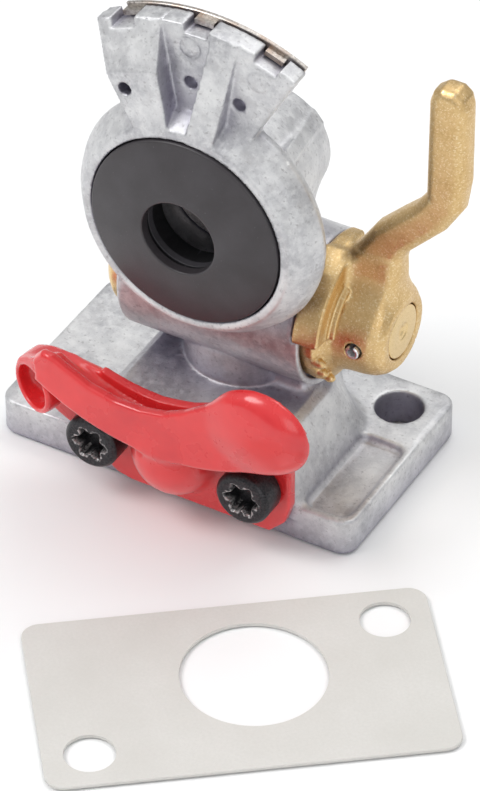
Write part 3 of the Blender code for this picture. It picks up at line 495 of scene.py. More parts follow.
def add_plate_and_channel(f):
    """Plate against the casting, rising front wall, and the channel's curved floor."""
    lip = [(30.4, 30.5), (22.0, 34.5), (12.0, 31.6), (5.5, 28.9), (-2.3, 27.2), (-10.3, 27.8),
           (-17.5, 29.0), (-25.0, 29.6), (-29.0, 29.4), (-33.4, 28.2), (-35.4, 26.0)]
    foot = [(-35.4, 22.6), (-33.0, 18.8), (-29.2, 15.4), (-25.4, 13.2), (-22.0, 11.8),
            (-20.8, 10.2), (-17.4, 7.0), (-12.6, CLAW_FOOT + 0.8), (-9.0, CLAW_FOOT),
            (25.4, CLAW_FOOT), (29.0, 6.4), (30.4, 11.0)]
    f.add(extruded(foot + lip, "Y", CLAW_BACK - CLAW_PLATE, CLAW_BACK, 0.6))
    left, right = 180 + 35.0, 180 - 36.0
    under = head_arc(CHANNEL_RADIUS + 2.2, left, right, 40)
    front = [(36.6, 38.0), (34.0, 43.0), (29.5, 46.0), (25.5, 46.6), (21.0, 45.0), (17.5, 42.0),
             (14.0, 39.6), (9.8, 36.6), (5.0, 34.2), (-1.0, 33.0), (-7.2, 33.0), (-13.6, 34.4),
             (-19.0, 37.0), (-22.6, 38.9), (-25.2, 38.6), (-27.4, 36.0)]
    f.add(extruded(under + front, "Y", CLAW_FRONT, CHANNEL_FRONT + 0.4, 0.9), 1.0)
    floor = under + head_arc(CHANNEL_RADIUS - 2.0, right, left, 40)
    f.add(extruded(floor, "Y", CLAW_FRONT + 0.6, CLAW_BACK - 0.4, 0.5), 1.5)


def chin_field(step):
    """Rounded swelling under the middle of the front wall."""
    chin = claw_grid(step)
    chin.add(ellipsoid((2.7, -28.6, 17.6), (10.2, 9.6, 11.2)))
    chin.cut(extruded([(-20.0, 25.5), (30.0, 25.5), (30.0, FAR), (-20.0, FAR)],
                      "Y", -FAR, 0.0), 1.0)
    return chin


def hood_field(step):
    """Hollow hood at the left end, open to the front, with its web to the front wall."""
    shell = claw_grid(step)
    shell.add(ellipsoid(HOOD_CENTRE, HOOD_RADII))
    shell.add(roof_shape(), 2.0)
    hollow = claw_grid(step)
    hollow.add(ellipsoid(HOOD_CENTRE, [r - HOOD_WALL for r in HOOD_RADII]))
    hollow.cut(extruded([(-50.0, -5.0), (-5.0, -5.0), (-5.0, FAR), (-50.0, FAR)],
                        "Y", CLAW_BACK - HOOD_WALL, 0.0), 1.0)
    shell.values = -smooth_min(-shell.values, hollow.values, 0.3)
    shell.cut(extruded([(-50.0, -24.8), (-20.0, -39.5), (-20.0, -FAR), (-50.0, -FAR)],
                       "Z", 0.0, 50.0), 0.9)
    return shell


def cut_channel_and_seats(f):
    """Channel for the other head's sector, its open end, and the screws' holes and seats."""
    left, right = 180 + 38.0, 180 - 48.0
    space = head_arc(CHANNEL_RADIUS, left, right, 40) + head_arc(26.0, right, left, 12)
    f.cut(extruded(space, "Y", CHANNEL_FRONT, CHANNEL_BACK), 0.6)
    f.cut(extruded([(-26.5, 30.6), (-17.0, 29.4), (-12.0, FAR), (-26.5, FAR)],
                   "Y", CHANNEL_BACK - 1.0, CLAW_BACK + 2.0), 1.2)
    f.cut(extruded([(CLAW_RIGHT, -5.0), (FAR, -5.0), (FAR, FAR), (CLAW_RIGHT, FAR)],
                   "Y", CHANNEL_FRONT, CHANNEL_BACK), 0.8)
    f.cut(extruded([(-FAR, -20.0), (FAR, -20.0), (FAR, 70.0), (-FAR, 70.0)],
                   "Y", CLAW_BACK, 5.0))
    for x in SCREW_X:
        centre = (x, 0.0, SCREW_Z)
        f.cut(bar(SCREW_RADIUS + 0.5, "Y", centre, -40.0, -20.0), 0.3)
        f.cut(bar(SCREW_HEAD_RADIUS + 0.7, "Y", centre, -50.0, CLAW_BACK - CLAW_PLATE), 0.6)
    f.cut(ellipsoid((-1.6, -37.4, 20.0), (1.0, 0.7, 1.0)), 0.6)


def roof_shape():
    """Web from the top of the plate's left end up to the front wall's top corner."""
    corners = [np.array(p) for p in ((-24.6, -38.0, 37.6), (-33.6, -32.4, 27.9),
                                     (-32.8, -26.4, 27.4), (-24.6, -26.4, 28.6))]
    half = 1.15

    def triangle(p, a, b, c):
        """Distance to a flat triangle."""
        normal = np.cross(b - a, c - a)
        inside, best = True, 1e9
        for start, end in ((a, b), (b, c), (c, a)):
            line = end - start
            q = [p[i] - start[i] for i in range(3)]
            side = np.cross(normal, line)
            inside = inside & (sum(q[i] * side[i] for i in range(3)) >= 0.0)
            t = np.clip(sum(q[i] * line[i] for i in range(3)) / (line @ line), 0.0, 1.0)
            best = np.minimum(best, sum((q[i] - t * line[i]) ** 2 for i in range(3)))
        height = sum((p[i] - a[i]) * normal[i] for i in range(3)) ** 2 / (normal @ normal)
        return np.sqrt(np.where(inside, height, best))

    def distance(x, y, z):
        p = np.broadcast_arrays(x, y, z)
        first = triangle(p, corners[0], corners[1], corners[3])
        second = triangle(p, corners[1], corners[2], corners[3])
        return np.minimum(first, second) - half
    low, high = np.min(corners, axis=0) - half, np.max(corners, axis=0) + half
    return distance, low, high


# ---- lathe --------------------------------------------------------------------------
def soften(profile, radius, steps=3):
    """Round every inner corner of an open (radius, along) profile."""
    result = [profile[0]]
    for before, here, after in zip(profile, profile[1:], profile[2:]):
        a, b, c = (Vector(p) for p in (before, here, after))
        reach = min(radius, (a - b).length * 0.45, (c - b).length * 0.45)
        start, end = b + (a - b).normalized() * reach, b + (c - b).normalized() * reach
        for k in range(steps + 1):
            t = k / steps
            point = start.lerp(b, t).lerp(b.lerp(end, t), t)
            result.append((point.x, point.y))
    result.append(profile[-1])
    return result


def lathe(name, profile, axis, centre, segments=96):
    """Turn an open (radius, along) profile; radius 0 closes an end, else it closes on itself."""
    cx, cy, cz = centre
    full = profile[0][0] == 0.0
    rings = profile[1:-1] if full else profile
    count = len(rings)
    points = []
    for k in range(segments):
        angle = 2 * math.pi * k / segments
        for r, h in rings:
            u, v = r * math.cos(angle), r * math.sin(angle)
            points.append({"X": (h, cy + u, cz + v), "Y": (cx + u, h, cz + v),
                           "Z": (cx + u, cy + v, h)}[axis])
    faces = []
    for k in range(segments):
        a, b = k * count, ((k + 1) % segments) * count
        for i in range(count - 1 if full else count):
            j = (i + 1) % count
            faces.append([a + i, a + j, b + j, b + i])
    if full:
        for row, tip in ((0, profile[0]), (count - 1, profile[-1])):
            points.append({"X": (tip[1], cy, cz), "Y": (cx, tip[1], cz),
                           "Z": (cx, cy, tip[1])}[axis])
            last = len(points) - 1
            for k in range(segments):
                faces.append([last, k * count + row, ((k + 1) % segments) * count + row])
    return solid(name, points, faces)


def solid(name, points, faces, angle=40.0):
    """Closed mesh from points in millimetres, with sharp edges above the given angle."""
    bm = bmesh.new()
    verts = [bm.verts.new(p) for p in place(points)]
    for face in faces:
        bm.faces.new([verts[i] for i in face])
    bmesh.ops.recalc_face_normals(bm, faces=bm.faces)
    mesh = bpy.data.meshes.new(name)
    bm.to_mesh(mesh)
    bm.free()
    obj = bpy.data.objects.new(name, mesh)
    bpy.context.collection.objects.link(obj)
    mesh.shade_smooth()
    mesh.set_sharp_from_angle(angle=math.radians(angle))
    return obj


def subtract(obj, *tools):
    """Cut the tools out of a mesh and remove them."""
    for tool in tools:
        modifier = obj.modifiers.new("cut", "BOOLEAN")
        modifier.operation = "DIFFERENCE"
        modifier.object = tool
    graph = bpy.context.evaluated_depsgraph_get()
    mesh = bpy.data.meshes.new_from_object(obj.evaluated_get(graph))
    obj.modifiers.clear()
    obj.data = mesh
    for tool in tools:
        bpy.data.objects.remove(tool)
    return obj


def loft(name, rings, angle=40.0):
    """Solid through rings of equally many points, capped at both ends."""
    count = len(rings[0])
    points = [p for ring in rings for p in ring]
    faces = [list(range(count)), [len(points) - count + i for i in range(count)]]
    for row in range(len(rings) - 1):
        for i in range(count):
            j = (i + 1) % count
            a, b = row * count, (row + 1) * count
            faces.append([a + i, a + j, b + j, b + i])
    return solid(name, points, faces, angle)


def make_screw(name, x):
    """Cap screw with a six-lobed socket."""
    seat = CLAW_BACK - CLAW_PLATE - GAP
    front, edge = seat - SCREW_HEAD, SCREW_HEAD_RADIUS
    profile = [(0.0, front + 0.15), (3.0, front + 0.15), (4.4, front), (edge - 0.8, front),
               (edge, front + 0.8), (edge, seat - 0.2), (edge - 0.2, seat), (SCREW_RADIUS, seat),
               (SCREW_RADIUS, FRONT_Y + SCREW_REACH - 0.8),
               (SCREW_RADIUS - 0.8, FRONT_Y + SCREW_REACH), (0.0, FRONT_Y + SCREW_REACH)]
    screw = lathe(name, soften(profile, 0.35), "Y", (x, 0.0, SCREW_Z))
    rings = []
    for y, scale in ((front - 1.0, 1.22), (front - 0.1, 1.13), (front + 0.45, 1.0),
                     (front + 3.6, 0.96)):
        ring = []
        for k in range(96):
            angle = 2 * math.pi * k / 96
            wave = math.cos(6 * angle)
            radius = (3.35 + 0.62 * wave + 0.1 * wave * wave) * scale
            ring.append((x + radius * math.cos(angle), y, SCREW_Z + radius * math.sin(angle)))
        rings.append(ring)
    screw = subtract(screw, loft("socket", rings))
    screw.data.shade_smooth()
    screw.data.set_sharp_from_angle(angle=math.radians(35))
    return screw


def prism(name, outline, axis, low, high, angle=40.0):
    """Extrude an outline given in the two other axes, in the order X, Y, Z."""
    def at(u, v, h):
        return {"X": (h, u, v), "Y": (u, h, v), "Z": (u, v, h)}[axis]
    return loft(name, [[at(u, v, low) for u, v in outline],
                       [at(u, v, high) for u, v in outline]], angle)


def inset(outline, width):
    """Move every corner of an anticlockwise outline inwards."""
    result = []
    for i, here in enumerate(outline):
        a, b = Vector(outline[i - 1]), Vector(here)
        c = Vector(outline[(i + 1) % len(outline)])
        first, second = (b - a).normalized(), (c - b).normalized()
        normal = Vector((-first.y - second.y, first.x + second.x))
        if normal.length < 1e-6:
            result.append(here)
            continue
        normal.normalize()
        lean = max(normal.dot(Vector((-first.y, first.x))), 0.5)
        moved = b + normal * (width / lean)
        result.append((moved.x, moved.y))
    return result


def eased_plate(name, outline, axis, low, high, ease):
    """Plate with small chamfers all round; the outline runs anticlockwise."""
    def ring(width, h):
        return [{"X": (h, u, v), "Y": (u, h, v), "Z": (u, v, h)}[axis]
                for u, v in inset(outline, width)]
    return loft(name, [ring(ease, low), ring(0.0, low + ease), ring(0.0, high - ease),
                       ring(ease, high)], 25.0)


def fine_plug():
    """Turned plug and spindle with rounded shoulders and a centre mark in its end."""
    radius, spindle, half = 10.2, SPINDLE_RADIUS, 1.2
    points = [(0.0, -5.0), (4.8, -5.0), (4.8, -8.0), (radius, -8.0)]
    for middle in (-5.6, 10.9):
        points += [(radius, middle - half), (8.3, middle - half), (8.3, middle + half),
                   (radius, middle + half)]
    points += [(radius, 12.6), (spindle, 12.6), (spindle, 18.5 - half), (4.9, 18.5 - half),
               (4.9, 18.5 + half), (spindle, 18.5 + half), (spindle, HUB_END - 0.1),
               (2.2, HUB_END - 0.1), (1.9, HUB_END - 0.35), (1.3, HUB_END - 0.4),
               (0.8, HUB_END - 0.75), (0.0, HUB_END - 0.9)]
    centre = (0.0, COCK_Y, COCK_Z)
    plug = lathe("plug_and_spindle", soften(points, 0.35), "X", centre)
    way = lathe("way", [(0.0, 20.0), (AIR_WAY_RADIUS, 20.0), (AIR_WAY_RADIUS, 70.0),
                        (0.0, 70.0)], "Z",
                (HEAD_X, COCK_Y, 0.0), 64)
    pin = lathe("pin_way", [(0.0, -20.0), (1.9, -20.0), (1.9, 20.0), (0.0, 20.0)], "Y",
                (PIN_X, 0.0, COCK_Z), 48)
    plug = subtract(plug, way, pin)
    plug.data.shade_smooth()
    plug.data.set_sharp_from_angle(angle=math.radians(35))
    return plug


def fine_cap():
    """Brass plug screw at the tube's left end, with its driver slot."""
    profile = [(0.0, -25.0), (12.6, -25.0), (14.0, -23.6), (14.0, -20.8), (13.0, -20.8),
               (13.0, -18.3), (11.6, -18.3), (11.6, -16.0), (13.0, -16.0), (13.0, -12.8),
               (8.0, -12.8), (8.0, -17.0), (0.0, -17.0)]
    cap = lathe("cap_screw", soften(profile, 0.4), "X", (0.0, COCK_Y, COCK_Z))
    slot = prism("slot", [(COCK_Y - 8.0, COCK_Z - 1.3), (COCK_Y + 8.0, COCK_Z - 1.3),
                          (COCK_Y + 8.0, COCK_Z + 1.3), (COCK_Y - 8.0, COCK_Z + 1.3)],
                 "X", -27.0, -23.2)
    cap = subtract(cap, slot)
    cap.data.shade_smooth()
    cap.data.set_sharp_from_angle(angle=math.radians(30))
    return cap


def fine_pin():
    """Slotted spring pin with eased ends."""
    centre, rings = (PIN_X, COCK_Z), []
    for y, outer, inner in ((-9.7, 1.35, 1.0), (-9.45, PIN_RADIUS, 0.9), (13.45, PIN_RADIUS, 0.9),
                            (13.7, 1.35, 1.0)):
        outline = arc(centre, outer, 110, 430, 40) + arc(centre, inner, 430, 110, 40)
        rings.append([(u, y, v) for u, v in outline])
    return loft("spring_pin", rings)


def fine_wear_plate():
    """Steel strip behind the sector's rim, its tabs hooked through the notches."""
    front = SECTOR_BACK + GAP
    outline = head_arc(STRIP_OUTER, STRIP_END, STRIP_START, 110)
    outline += head_arc(STRIP_INNER, STRIP_START, STRIP_END, 100)
    plate = eased_plate("steel_strip", outline, "Y", front, front + 1.0, 0.15)
    tabs = []
    for angle in NOTCH_ANGLES:
        tab = (head_arc(47.3, angle - 2.7, angle + 2.7, 8)
               + head_arc(48.4, angle + 2.7, angle - 2.7, 8))
        tabs.append(prism("tab", tab, "Y", -16.4, front + 0.6, 25.0))
    for tab in tabs:
        modifier = plate.modifiers.new("join", "BOOLEAN")
        modifier.operation = "UNION"
        modifier.object = tab
    graph = bpy.context.evaluated_depsgraph_get()
    mesh = bpy.data.meshes.new_from_object(plate.evaluated_get(graph))
    plate.modifiers.clear()
    plate.data = mesh
    for tab in tabs:
        bpy.data.objects.remove(tab)
    mesh.shade_smooth()
    mesh.set_sharp_from_angle(angle=math.radians(25))
    return plate


def fine_gasket():
    """Fibre gasket with finely rounded openings, lying turned in front of the fitting."""
    half_x, half_y = GASKET_LENGTH / 2, BASE_WIDTH / 2
    outline = rounded_rectangle(-half_x, half_x, -half_y, half_y, 4.0, 10)
    turn = math.radians(GASKET_TURN)

    def lay(u, v):
        return (GASKET_X + u * math.cos(turn) - v * math.sin(turn),
                GASKET_Y + u * math.sin(turn) + v * math.cos(turn))
    board = eased_plate("fibre_gasket", [lay(u, v) for u, v in outline], "Z", 0.0,
                        GASKET_THICK, 0.12)
    cutters = []
    for u, v, radius in ((PORT_X, PORT_Y, GASKET_PORT_RADIUS), (BOLT_X, BOLT_Y, BOLT_RADIUS),
                         (-BOLT_X, -BOLT_Y, BOLT_RADIUS)):
        x, y = lay(u, v)
        cutters.append(lathe("opening", [(0.0, -1.0), (radius, -1.0), (radius, 2.0), (0.0, 2.0)],
                             "Z", (x, y, 0.0)))
    board = subtract(board, *cutters)
    board.data.shade_smooth()
    board.data.set_sharp_from_angle(angle=math.radians(25))
    return board


# ---- materials ----------------------------------------------------------------------
class Shader:
    """A node material built step by step around one Principled shader."""

    def __init__(self, name):
        self.mat = bpy.data.materials.new(name)
        self.mat.use_nodes = True
        self.tree = self.mat.node_tree
        self.bsdf = self.tree.nodes["Principled BSDF"]
        self.coords = self.tree.nodes.new("ShaderNodeTexCoord").outputs["Object"]

    def node(self, kind, values=None, **settings):
        node = self.tree.nodes.new(kind)
        for key, value in settings.items():
            setattr(node, key, value)
        for key, value in (values or {}).items():
            if isinstance(value, bpy.types.NodeSocket):
                self.tree.links.new(value, node.inputs[key])
            else:
                node.inputs[key].default_value = value
        return node

    def noise(self, size, detail=4.0, rough=0.55, coords=None):
        """Noise whose features are about size millimetres."""
        return self.node("ShaderNodeTexNoise", {"Vector": coords or self.coords,
                                                "Scale": 1000.0 / size, "Detail": detail,
                                                "Roughness": rough}).outputs["Fac"]

    def cells(self, size, output="Distance"):
        return self.node("ShaderNodeTexVoronoi", {"Vector": self.coords,
                                                  "Scale": 1000.0 / size}).outputs[output]

    def ramp(self, value, low, high, start=0.0, end=1.0):
        return self.node("ShaderNodeMapRange", {0: value, 1: low, 2: high, 3: start,
                                                4: end}).outputs[0]

    def math(self, operation, a, b):
        return self.node("ShaderNodeMath", {0: a, 1: b}, operation=operation).outputs[0]

    def mix(self, factor, a, b, blend="MIX"):
        node = self.node("ShaderNodeMix", {0: factor}, data_type="RGBA", blend_type=blend)
        for index, value in ((6, a), (7, b)):
            if isinstance(value, bpy.types.NodeSocket):
                self.tree.links.new(value, node.inputs[index])
            else:
                node.inputs[index].default_value = (*value, 1.0)
        return node.outputs[2]

    def painted_corner_shade(self, reach, low, high):
        """One in deep corners, zero in the open: the mask for painted shade."""
        near = self.node("ShaderNodeAmbientOcclusion", {"Distance": reach * MM}, samples=8)
        return self.ramp(near.outputs["AO"], low, high, 1.0, 0.0)

    def edges(self, low=0.52, high=0.62):
        point = self.node("ShaderNodeNewGeometry").outputs["Pointiness"]
        return self.ramp(point, low, high)

    def bump(self, height, strength, distance, below=None):
        values = {"Height": height, "Strength": strength, "Distance": distance * MM}
        if below is not None:
            values["Normal"] = below
        return self.node("ShaderNodeBump", values).outputs["Normal"]

    def finish(self, **sockets):
        for key, value in sockets.items():
            target = self.bsdf.inputs[key.replace("_", " ")]
            if isinstance(value, bpy.types.NodeSocket):
                self.tree.links.new(value, target)
            else:
                target.default_value = value
        return self.mat


def cast_aluminium():
    """Sand-cast skin: mottled light grey, with bluish painted shade in its deep corners."""
    s = Shader("cast_aluminium")
    broad = s.noise(13.0, 5.0, 0.6)
    mottle = s.noise(2.0, 6.0, 0.68)
    grain = s.noise(0.45, 3.0, 0.6)
    base = s.mix(s.ramp(broad, 0.36, 0.66), (0.46, 0.46, 0.48), (0.76, 0.76, 0.76))
    base = s.mix(s.ramp(mottle, 0.42, 0.64, 0.0, 0.6), base, (0.84, 0.84, 0.84))
    stain = s.math("MULTIPLY", s.ramp(s.noise(4.5, 6.0, 0.7), 0.52, 0.66),
                   s.ramp(mottle, 0.35, 0.6))
    base = s.mix(s.math("MULTIPLY", stain, 0.5), base, (0.38, 0.37, 0.38))
    dirt = s.ramp(s.noise(0.9, 2.0, 0.5), 0.60, 0.74, 0.0, 0.5)
    base = s.mix(dirt, base, (0.30, 0.29, 0.30))
    worn = s.math("MULTIPLY", s.edges(), s.ramp(mottle, 0.30, 0.6))
    base = s.mix(worn, base, (0.96, 0.96, 0.96))
    # Painted shade: ambient occlusion darkens the base colour towards bluish grey in deep
    # corners.
    hollow = s.painted_corner_shade(14.0, 0.35, 0.85)
    base = s.mix(hollow, base, (0.50, 0.48, 0.58), "MULTIPLY")
    rough = s.ramp(mottle, 0.3, 0.7, 0.38, 0.60)
    normal = s.bump(grain, 0.4, 0.07)
    normal = s.bump(s.noise(1.6, 4.0, 0.6), 0.3, 0.12, normal)
    normal = s.bump(s.noise(5.0, 3.0), 0.35, 0.35, normal)
    return s.finish(Base_Color=base, Metallic=0.72, Roughness=rough, Normal=normal)


def cast_brass():
    """Unpolished sand-cast brass with painted glints: bright specks lightened into its base
    colour.
    """
    s = Shader("cast_brass")
    broad = s.noise(9.0, 4.0, 0.6)
    grain = s.noise(0.55, 4.0, 0.7)
    glint_and_grain_cells = s.cells(0.28, "Color")
    base = s.mix(s.ramp(broad, 0.3, 0.7), (0.58, 0.37, 0.15), (0.74, 0.52, 0.25))
    base = s.mix(s.ramp(grain, 0.35, 0.7, 0.0, 0.6), base, (0.86, 0.66, 0.36))
    split = s.node("ShaderNodeSeparateColor", {0: glint_and_grain_cells})
    # Painted glints: random cells lightened towards a highlight colour; another channel of the
    # same cells gives real roughness changes.
    base = s.mix(s.ramp(split.outputs[0], 0.80, 0.95, 0.0, 0.5), base, (0.96, 0.82, 0.56))
    base = s.mix(s.edges(0.52, 0.6), base, (0.92, 0.74, 0.44))
    rough = s.ramp(split.outputs[1], 0.0, 1.0, 0.30, 0.52)
    normal = s.bump(grain, 0.55, 0.10)
    normal = s.bump(s.noise(3.0, 3.0), 0.3, 0.3, normal)
    return s.finish(Base_Color=base, Metallic=1.0, Roughness=rough, Normal=normal)


def turned_brass():
    """Machined brass with a fine grain."""
    s = Shader("turned_brass")
    grain = s.noise(0.3, 3.0)
    base = s.mix(s.ramp(grain, 0.35, 0.7), (0.74, 0.54, 0.26), (0.84, 0.65, 0.37))
    normal = s.bump(grain, 0.12, 0.02)
    return s.finish(Base_Color=base, Metallic=1.0, Roughness=s.ramp(grain, 0.3, 0.7, 0.26, 0.4),
                    Normal=normal)


def red_paint():
    """Gloss paint, thin and light along its edges."""
    s = Shader("red_paint")
    broad = s.noise(11.0, 4.0)
    base = s.mix(s.ramp(broad, 0.3, 0.7), (0.66, 0.022, 0.028), (0.80, 0.040, 0.042))
    worn = s.math("MULTIPLY", s.edges(0.53, 0.64), s.ramp(s.noise(1.4, 4.0), 0.35, 0.65))
    base = s.mix(worn, base, (0.90, 0.20, 0.18))
    normal = s.bump(s.noise(1.2, 2.0, 0.4), 0.12, 0.08)
    normal = s.bump(s.noise(6.0, 2.0, 0.4), 0.2, 0.3, normal)
    return s.finish(Base_Color=base, Roughness=s.ramp(broad, 0.3, 0.7, 0.22, 0.34),
                    Coat_Weight=0.5, Coat_Roughness=0.12, Normal=normal)


def black_steel():
    """Black oxide skin, rubbed bright along its edges."""
    s = Shader("black_steel")
    grain = s.noise(0.5, 4.0, 0.6)
    base = s.mix(s.ramp(grain, 0.4, 0.7), (0.018, 0.017, 0.020), (0.055, 0.052, 0.056))
    worn = s.math("MULTIPLY", s.edges(0.53, 0.62), s.ramp(s.noise(0.8, 4.0), 0.40, 0.6))
    base = s.mix(worn, base, (0.42, 0.40, 0.40))
    normal = s.bump(grain, 0.4, 0.05)
    return s.finish(Base_Color=base, Metallic=0.55, Roughness=s.ramp(grain, 0.3, 0.7, 0.26, 0.42),
                    Normal=normal)


def spring_steel(name, dark, light, stained):
    """Plain steel; stained is how much brown lies on it."""
    s = Shader(name)
    grain = s.noise(0.6, 4.0, 0.6)
    base = s.mix(s.ramp(grain, 0.35, 0.7), dark, light)
    stain = s.ramp(s.noise(4.0, 4.0), 0.48, 0.64, 0.0, stained)
    base = s.mix(stain, base, (0.42, 0.29, 0.21))
    normal = s.bump(grain, 0.2, 0.04)
    return s.finish(Base_Color=base, Metallic=0.95, Roughness=s.ramp(grain, 0.3, 0.7, 0.25, 0.42),
                    Normal=normal)


def black_rubber():
    """Moulded rubber with a little dust."""
    s = Shader("black_rubber")
    grain = s.noise(0.35, 3.0, 0.6)
    broad = s.ramp(s.noise(9.0, 4.0), 0.3, 0.7)
    base = s.mix(broad, (0.032, 0.027, 0.030), (0.050, 0.045, 0.050))
    dust = s.ramp(s.noise(0.5, 2.0), 0.70, 0.78, 0.0, 0.35)
    base = s.mix(dust, base, (0.20, 0.19, 0.20))
    normal = s.bump(grain, 0.15, 0.03)
    return s.finish(Base_Color=base, Roughness=s.ramp(grain, 0.3, 0.7, 0.34, 0.46), Normal=normal)


def black_plastic():
    """Moulded plastic, grey along its edges."""
    s = Shader("black_plastic")
    grain = s.noise(0.4, 3.0, 0.6)
    base = s.mix(s.ramp(grain, 0.3, 0.7), (0.010, 0.010, 0.011), (0.026, 0.025, 0.028))
    base = s.mix(s.edges(0.52, 0.60), base, (0.16, 0.15, 0.17))
    return s.finish(Base_Color=base, Roughness=s.ramp(grain, 0.3, 0.7, 0.3, 0.5),
                    Normal=s.bump(grain, 0.25, 0.04))


def gasket_board():
    """Pressed fibre board."""
    s = Shader("gasket_board")
    fibre = s.noise(0.7, 6.0, 0.7)
    broad = s.noise(18.0, 3.0)
    base = s.mix(s.ramp(broad, 0.3, 0.7), (0.640, 0.625, 0.590), (0.690, 0.675, 0.645))
    base = s.mix(s.ramp(fibre, 0.35, 0.7, 0.0, 0.5), base, (0.60, 0.585, 0.55))
    return s.finish(Base_Color=base, Roughness=s.ramp(fibre, 0.3, 0.7, 0.62, 0.8),
                    Normal=s.bump(fibre, 0.25, 0.04))


# ---- build --------------------------------------------------------------------------
def dress(obj, mat, body, slot, *nodes):
    """Give a piece its material and body, in place of the nodes it draws; its slot is not used.
    """
    obj.data.materials.clear()
    obj.data.materials.append(mat)
    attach(obj, body)
    if nodes:
        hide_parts(*nodes)


ALUMINIUM, BRASS, TURNED = cast_aluminium(), cast_brass(), turned_brass()
RED, BLACK = red_paint(), black_steel()
STEEL = spring_steel("spring_steel", (0.40, 0.37, 0.34), (0.68, 0.64, 0.60), 0.6)
BRIGHT = spring_steel("pin_steel", (0.70, 0.70, 0.72), (0.90, 0.90, 0.92), 0.0)
RUBBER, PLASTIC, BOARD = black_rubber(), black_plastic(), gasket_board()

head_axis = (HEAD_X, 0.0, HEAD_Z)
coarse = 1.0
dress(housing_field(0.40 * coarse).mesh("cast_housing", 0.01), ALUMINIUM, "body",
      "cast_aluminium", "housing")
dress(handle_field(0.35 * coarse).mesh("brass_handle", 0.01), BRASS, "cock", "cast_brass",
      "handle")
dress(claw_field(0.32 * coarse).mesh("red_claw", 0.01), RED, "body", "red_paint", "claw")

seal_edge = SEAL_Y - 0.5
seal_lip = seal_edge - SEAL_CONE
seal = lathe("seal_face", soften([(SEAL_BORE, -25.7), (SEAL_BORE, seal_lip),
                                  (SEAL_RADIUS, seal_edge), (SEAL_RADIUS, -18.9),
                                  (10.9, -18.9), (10.9, -24.9), (9.7, -24.9), (9.7, -25.7)], 0.5),
             "Y", head_axis, 144)
dress(seal, RUBBER, "body", "black_rubber", "face_seal")
ring = lathe("inner_ring", soften([(9.0, -22.9), (9.0, -24.6), (10.6, -24.6), (10.6, -18.0),
                                   (9.6, -18.0), (9.6, -22.9)], 0.15),
             "Y", head_axis, 144)
dress(ring, PLASTIC, "body", "black_plastic", "seal_ring")
cup = lathe("strainer_cup", soften([(0.0, 6.0), (8.6, 6.0), (8.6, -6.3), (12.6, -6.3),
                                    (12.6, -7.6), (7.8, -7.6), (7.8, 5.2), (0.0, 5.2)], 0.3),
            "Y", head_axis)
dress(cup, PLASTIC, "body", "black_plastic", "strainer")
for name, x in zip(("claw_screw_left", "claw_screw_right"), SCREW_X):
    dress(make_screw("cap_" + name, x), BLACK, "body", "black_steel", name)

dress(fine_plug(), TURNED, "cock", "turned_brass", "cock_plug")
dress(fine_cap(), TURNED, "body", "turned_brass", "end_cap")
dress(fine_pin(), BRIGHT, "cock", "spring_steel", "roll_pin")
dress(fine_wear_plate(), STEEL, "body", "spring_steel", "wear_plate")
dress(fine_gasket(), BOARD, "gasket_body", "gasket_board", "gasket")

KEPT = {"strainer_clip": STEEL, "plug_o_ring_left": RUBBER, "plug_o_ring_right": RUBBER,
        "spindle_o_ring": RUBBER, "thrust_washer": PLASTIC, "end_cap_o_ring": RUBBER,
        "plug_spring": STEEL}
for name, mat in KEPT.items():
    for material_slot in frame["nodes"][name].material_slots:
        material_slot.material = mat


# ---- stage, light, camera -----------------------------------------------------------
def stage_floor():
    bpy.ops.mesh.primitive_plane_add(size=6.0, location=(0.0, 0.0, -0.0004))
    floor = bpy.context.object
    floor.name = "floor"
    s = Shader("floor")
    tone = s.mix(s.ramp(s.noise(60.0, 3.0), 0.3, 0.7), (0.90, 0.90, 0.90), (0.92, 0.92, 0.92))
    floor.data.materials.append(s.finish(Base_Color=tone, Roughness=0.9))


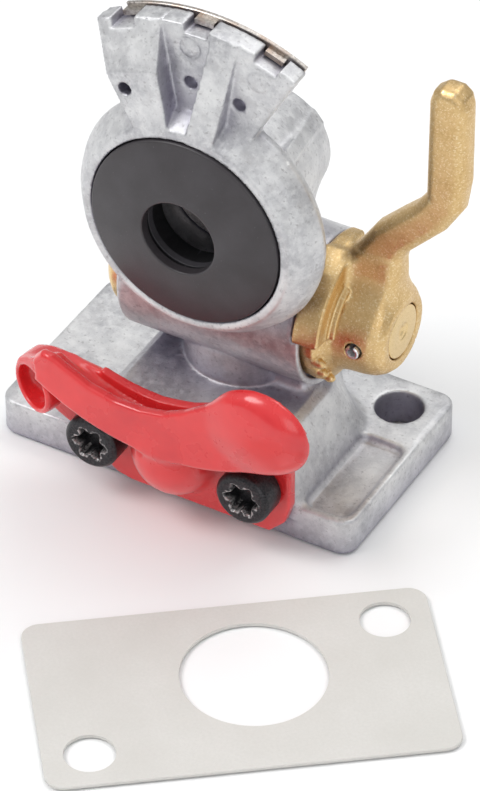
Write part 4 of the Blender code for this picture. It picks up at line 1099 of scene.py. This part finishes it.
def area_light(name, place_at, target, size, power):
    data = bpy.data.lights.new(name, "AREA")
    data.shape = "RECTANGLE"
    data.size, data.size_y = size
    data.energy = power
    light = bpy.data.objects.new(name, data)
    light.location = place_at
    light.rotation_euler = (Vector(target) - Vector(place_at)).to_track_quat("-Z", "Y").to_euler()
    bpy.context.collection.objects.link(light)


def world():
    """Plain studio light, a little stronger from above."""
    scene_world = bpy.data.worlds.new("studio")
    bpy.context.scene.world = scene_world
    scene_world.use_nodes = True
    background = scene_world.node_tree.nodes["Background"]
    tree = scene_world.node_tree
    direction = tree.nodes.new("ShaderNodeTexCoord").outputs["Generated"]
    split = tree.nodes.new("ShaderNodeSeparateXYZ")
    tree.links.new(direction, split.inputs[0])
    rise = tree.nodes.new("ShaderNodeMapRange")
    rise.inputs[1].default_value, rise.inputs[2].default_value = 0.0, 0.75
    rise.inputs[3].default_value, rise.inputs[4].default_value = 0.36, 0.72
    tree.links.new(split.outputs[2], rise.inputs[0])
    tree.links.new(rise.outputs[0], background.inputs[1])
    background.inputs[0].default_value = (0.98, 0.99, 1.0, 1.0)


def camera():
    """Three-quarter view from above; offsets and distance in millimetres."""
    azimuth, elevation = math.radians(29.67), math.radians(39.70)
    focal, distance, shift_x, shift_y = 227.7, 1110.7, -1.82, -7.63
    right = Vector((math.cos(azimuth), math.sin(azimuth), 0.0))
    up = Vector((-math.sin(azimuth) * math.sin(elevation),
                 math.cos(azimuth) * math.sin(elevation), math.cos(elevation)))
    back = right.cross(up)
    eye = right * -shift_x - up * shift_y + back * distance
    data = bpy.data.cameras.new("camera")
    data.lens = focal
    data.sensor_width = 36.0
    data.clip_start, data.clip_end = 0.05, 20.0
    cam = bpy.data.objects.new("camera", data)
    turn = Matrix((right, up, back)).transposed().to_4x4()
    turn.translation = Vector(place(eye))
    cam.matrix_world = turn
    bpy.context.collection.objects.link(cam)
    bpy.context.scene.camera = cam


stage_floor()
world()
area_light("key", (-0.55, -0.45, 0.95), (-0.02, 0.04, 0.05), (0.5, 0.5), 5.5)
area_light("fill", (0.75, -0.75, 0.45), (0.0, 0.04, 0.05), (0.6, 0.6), 1.6)
area_light("top", (0.1, 0.45, 0.9), (0.0, 0.04, 0.06), (0.7, 0.4), 2.6)
camera()
bpy.context.scene.view_settings.view_transform = "Standard"
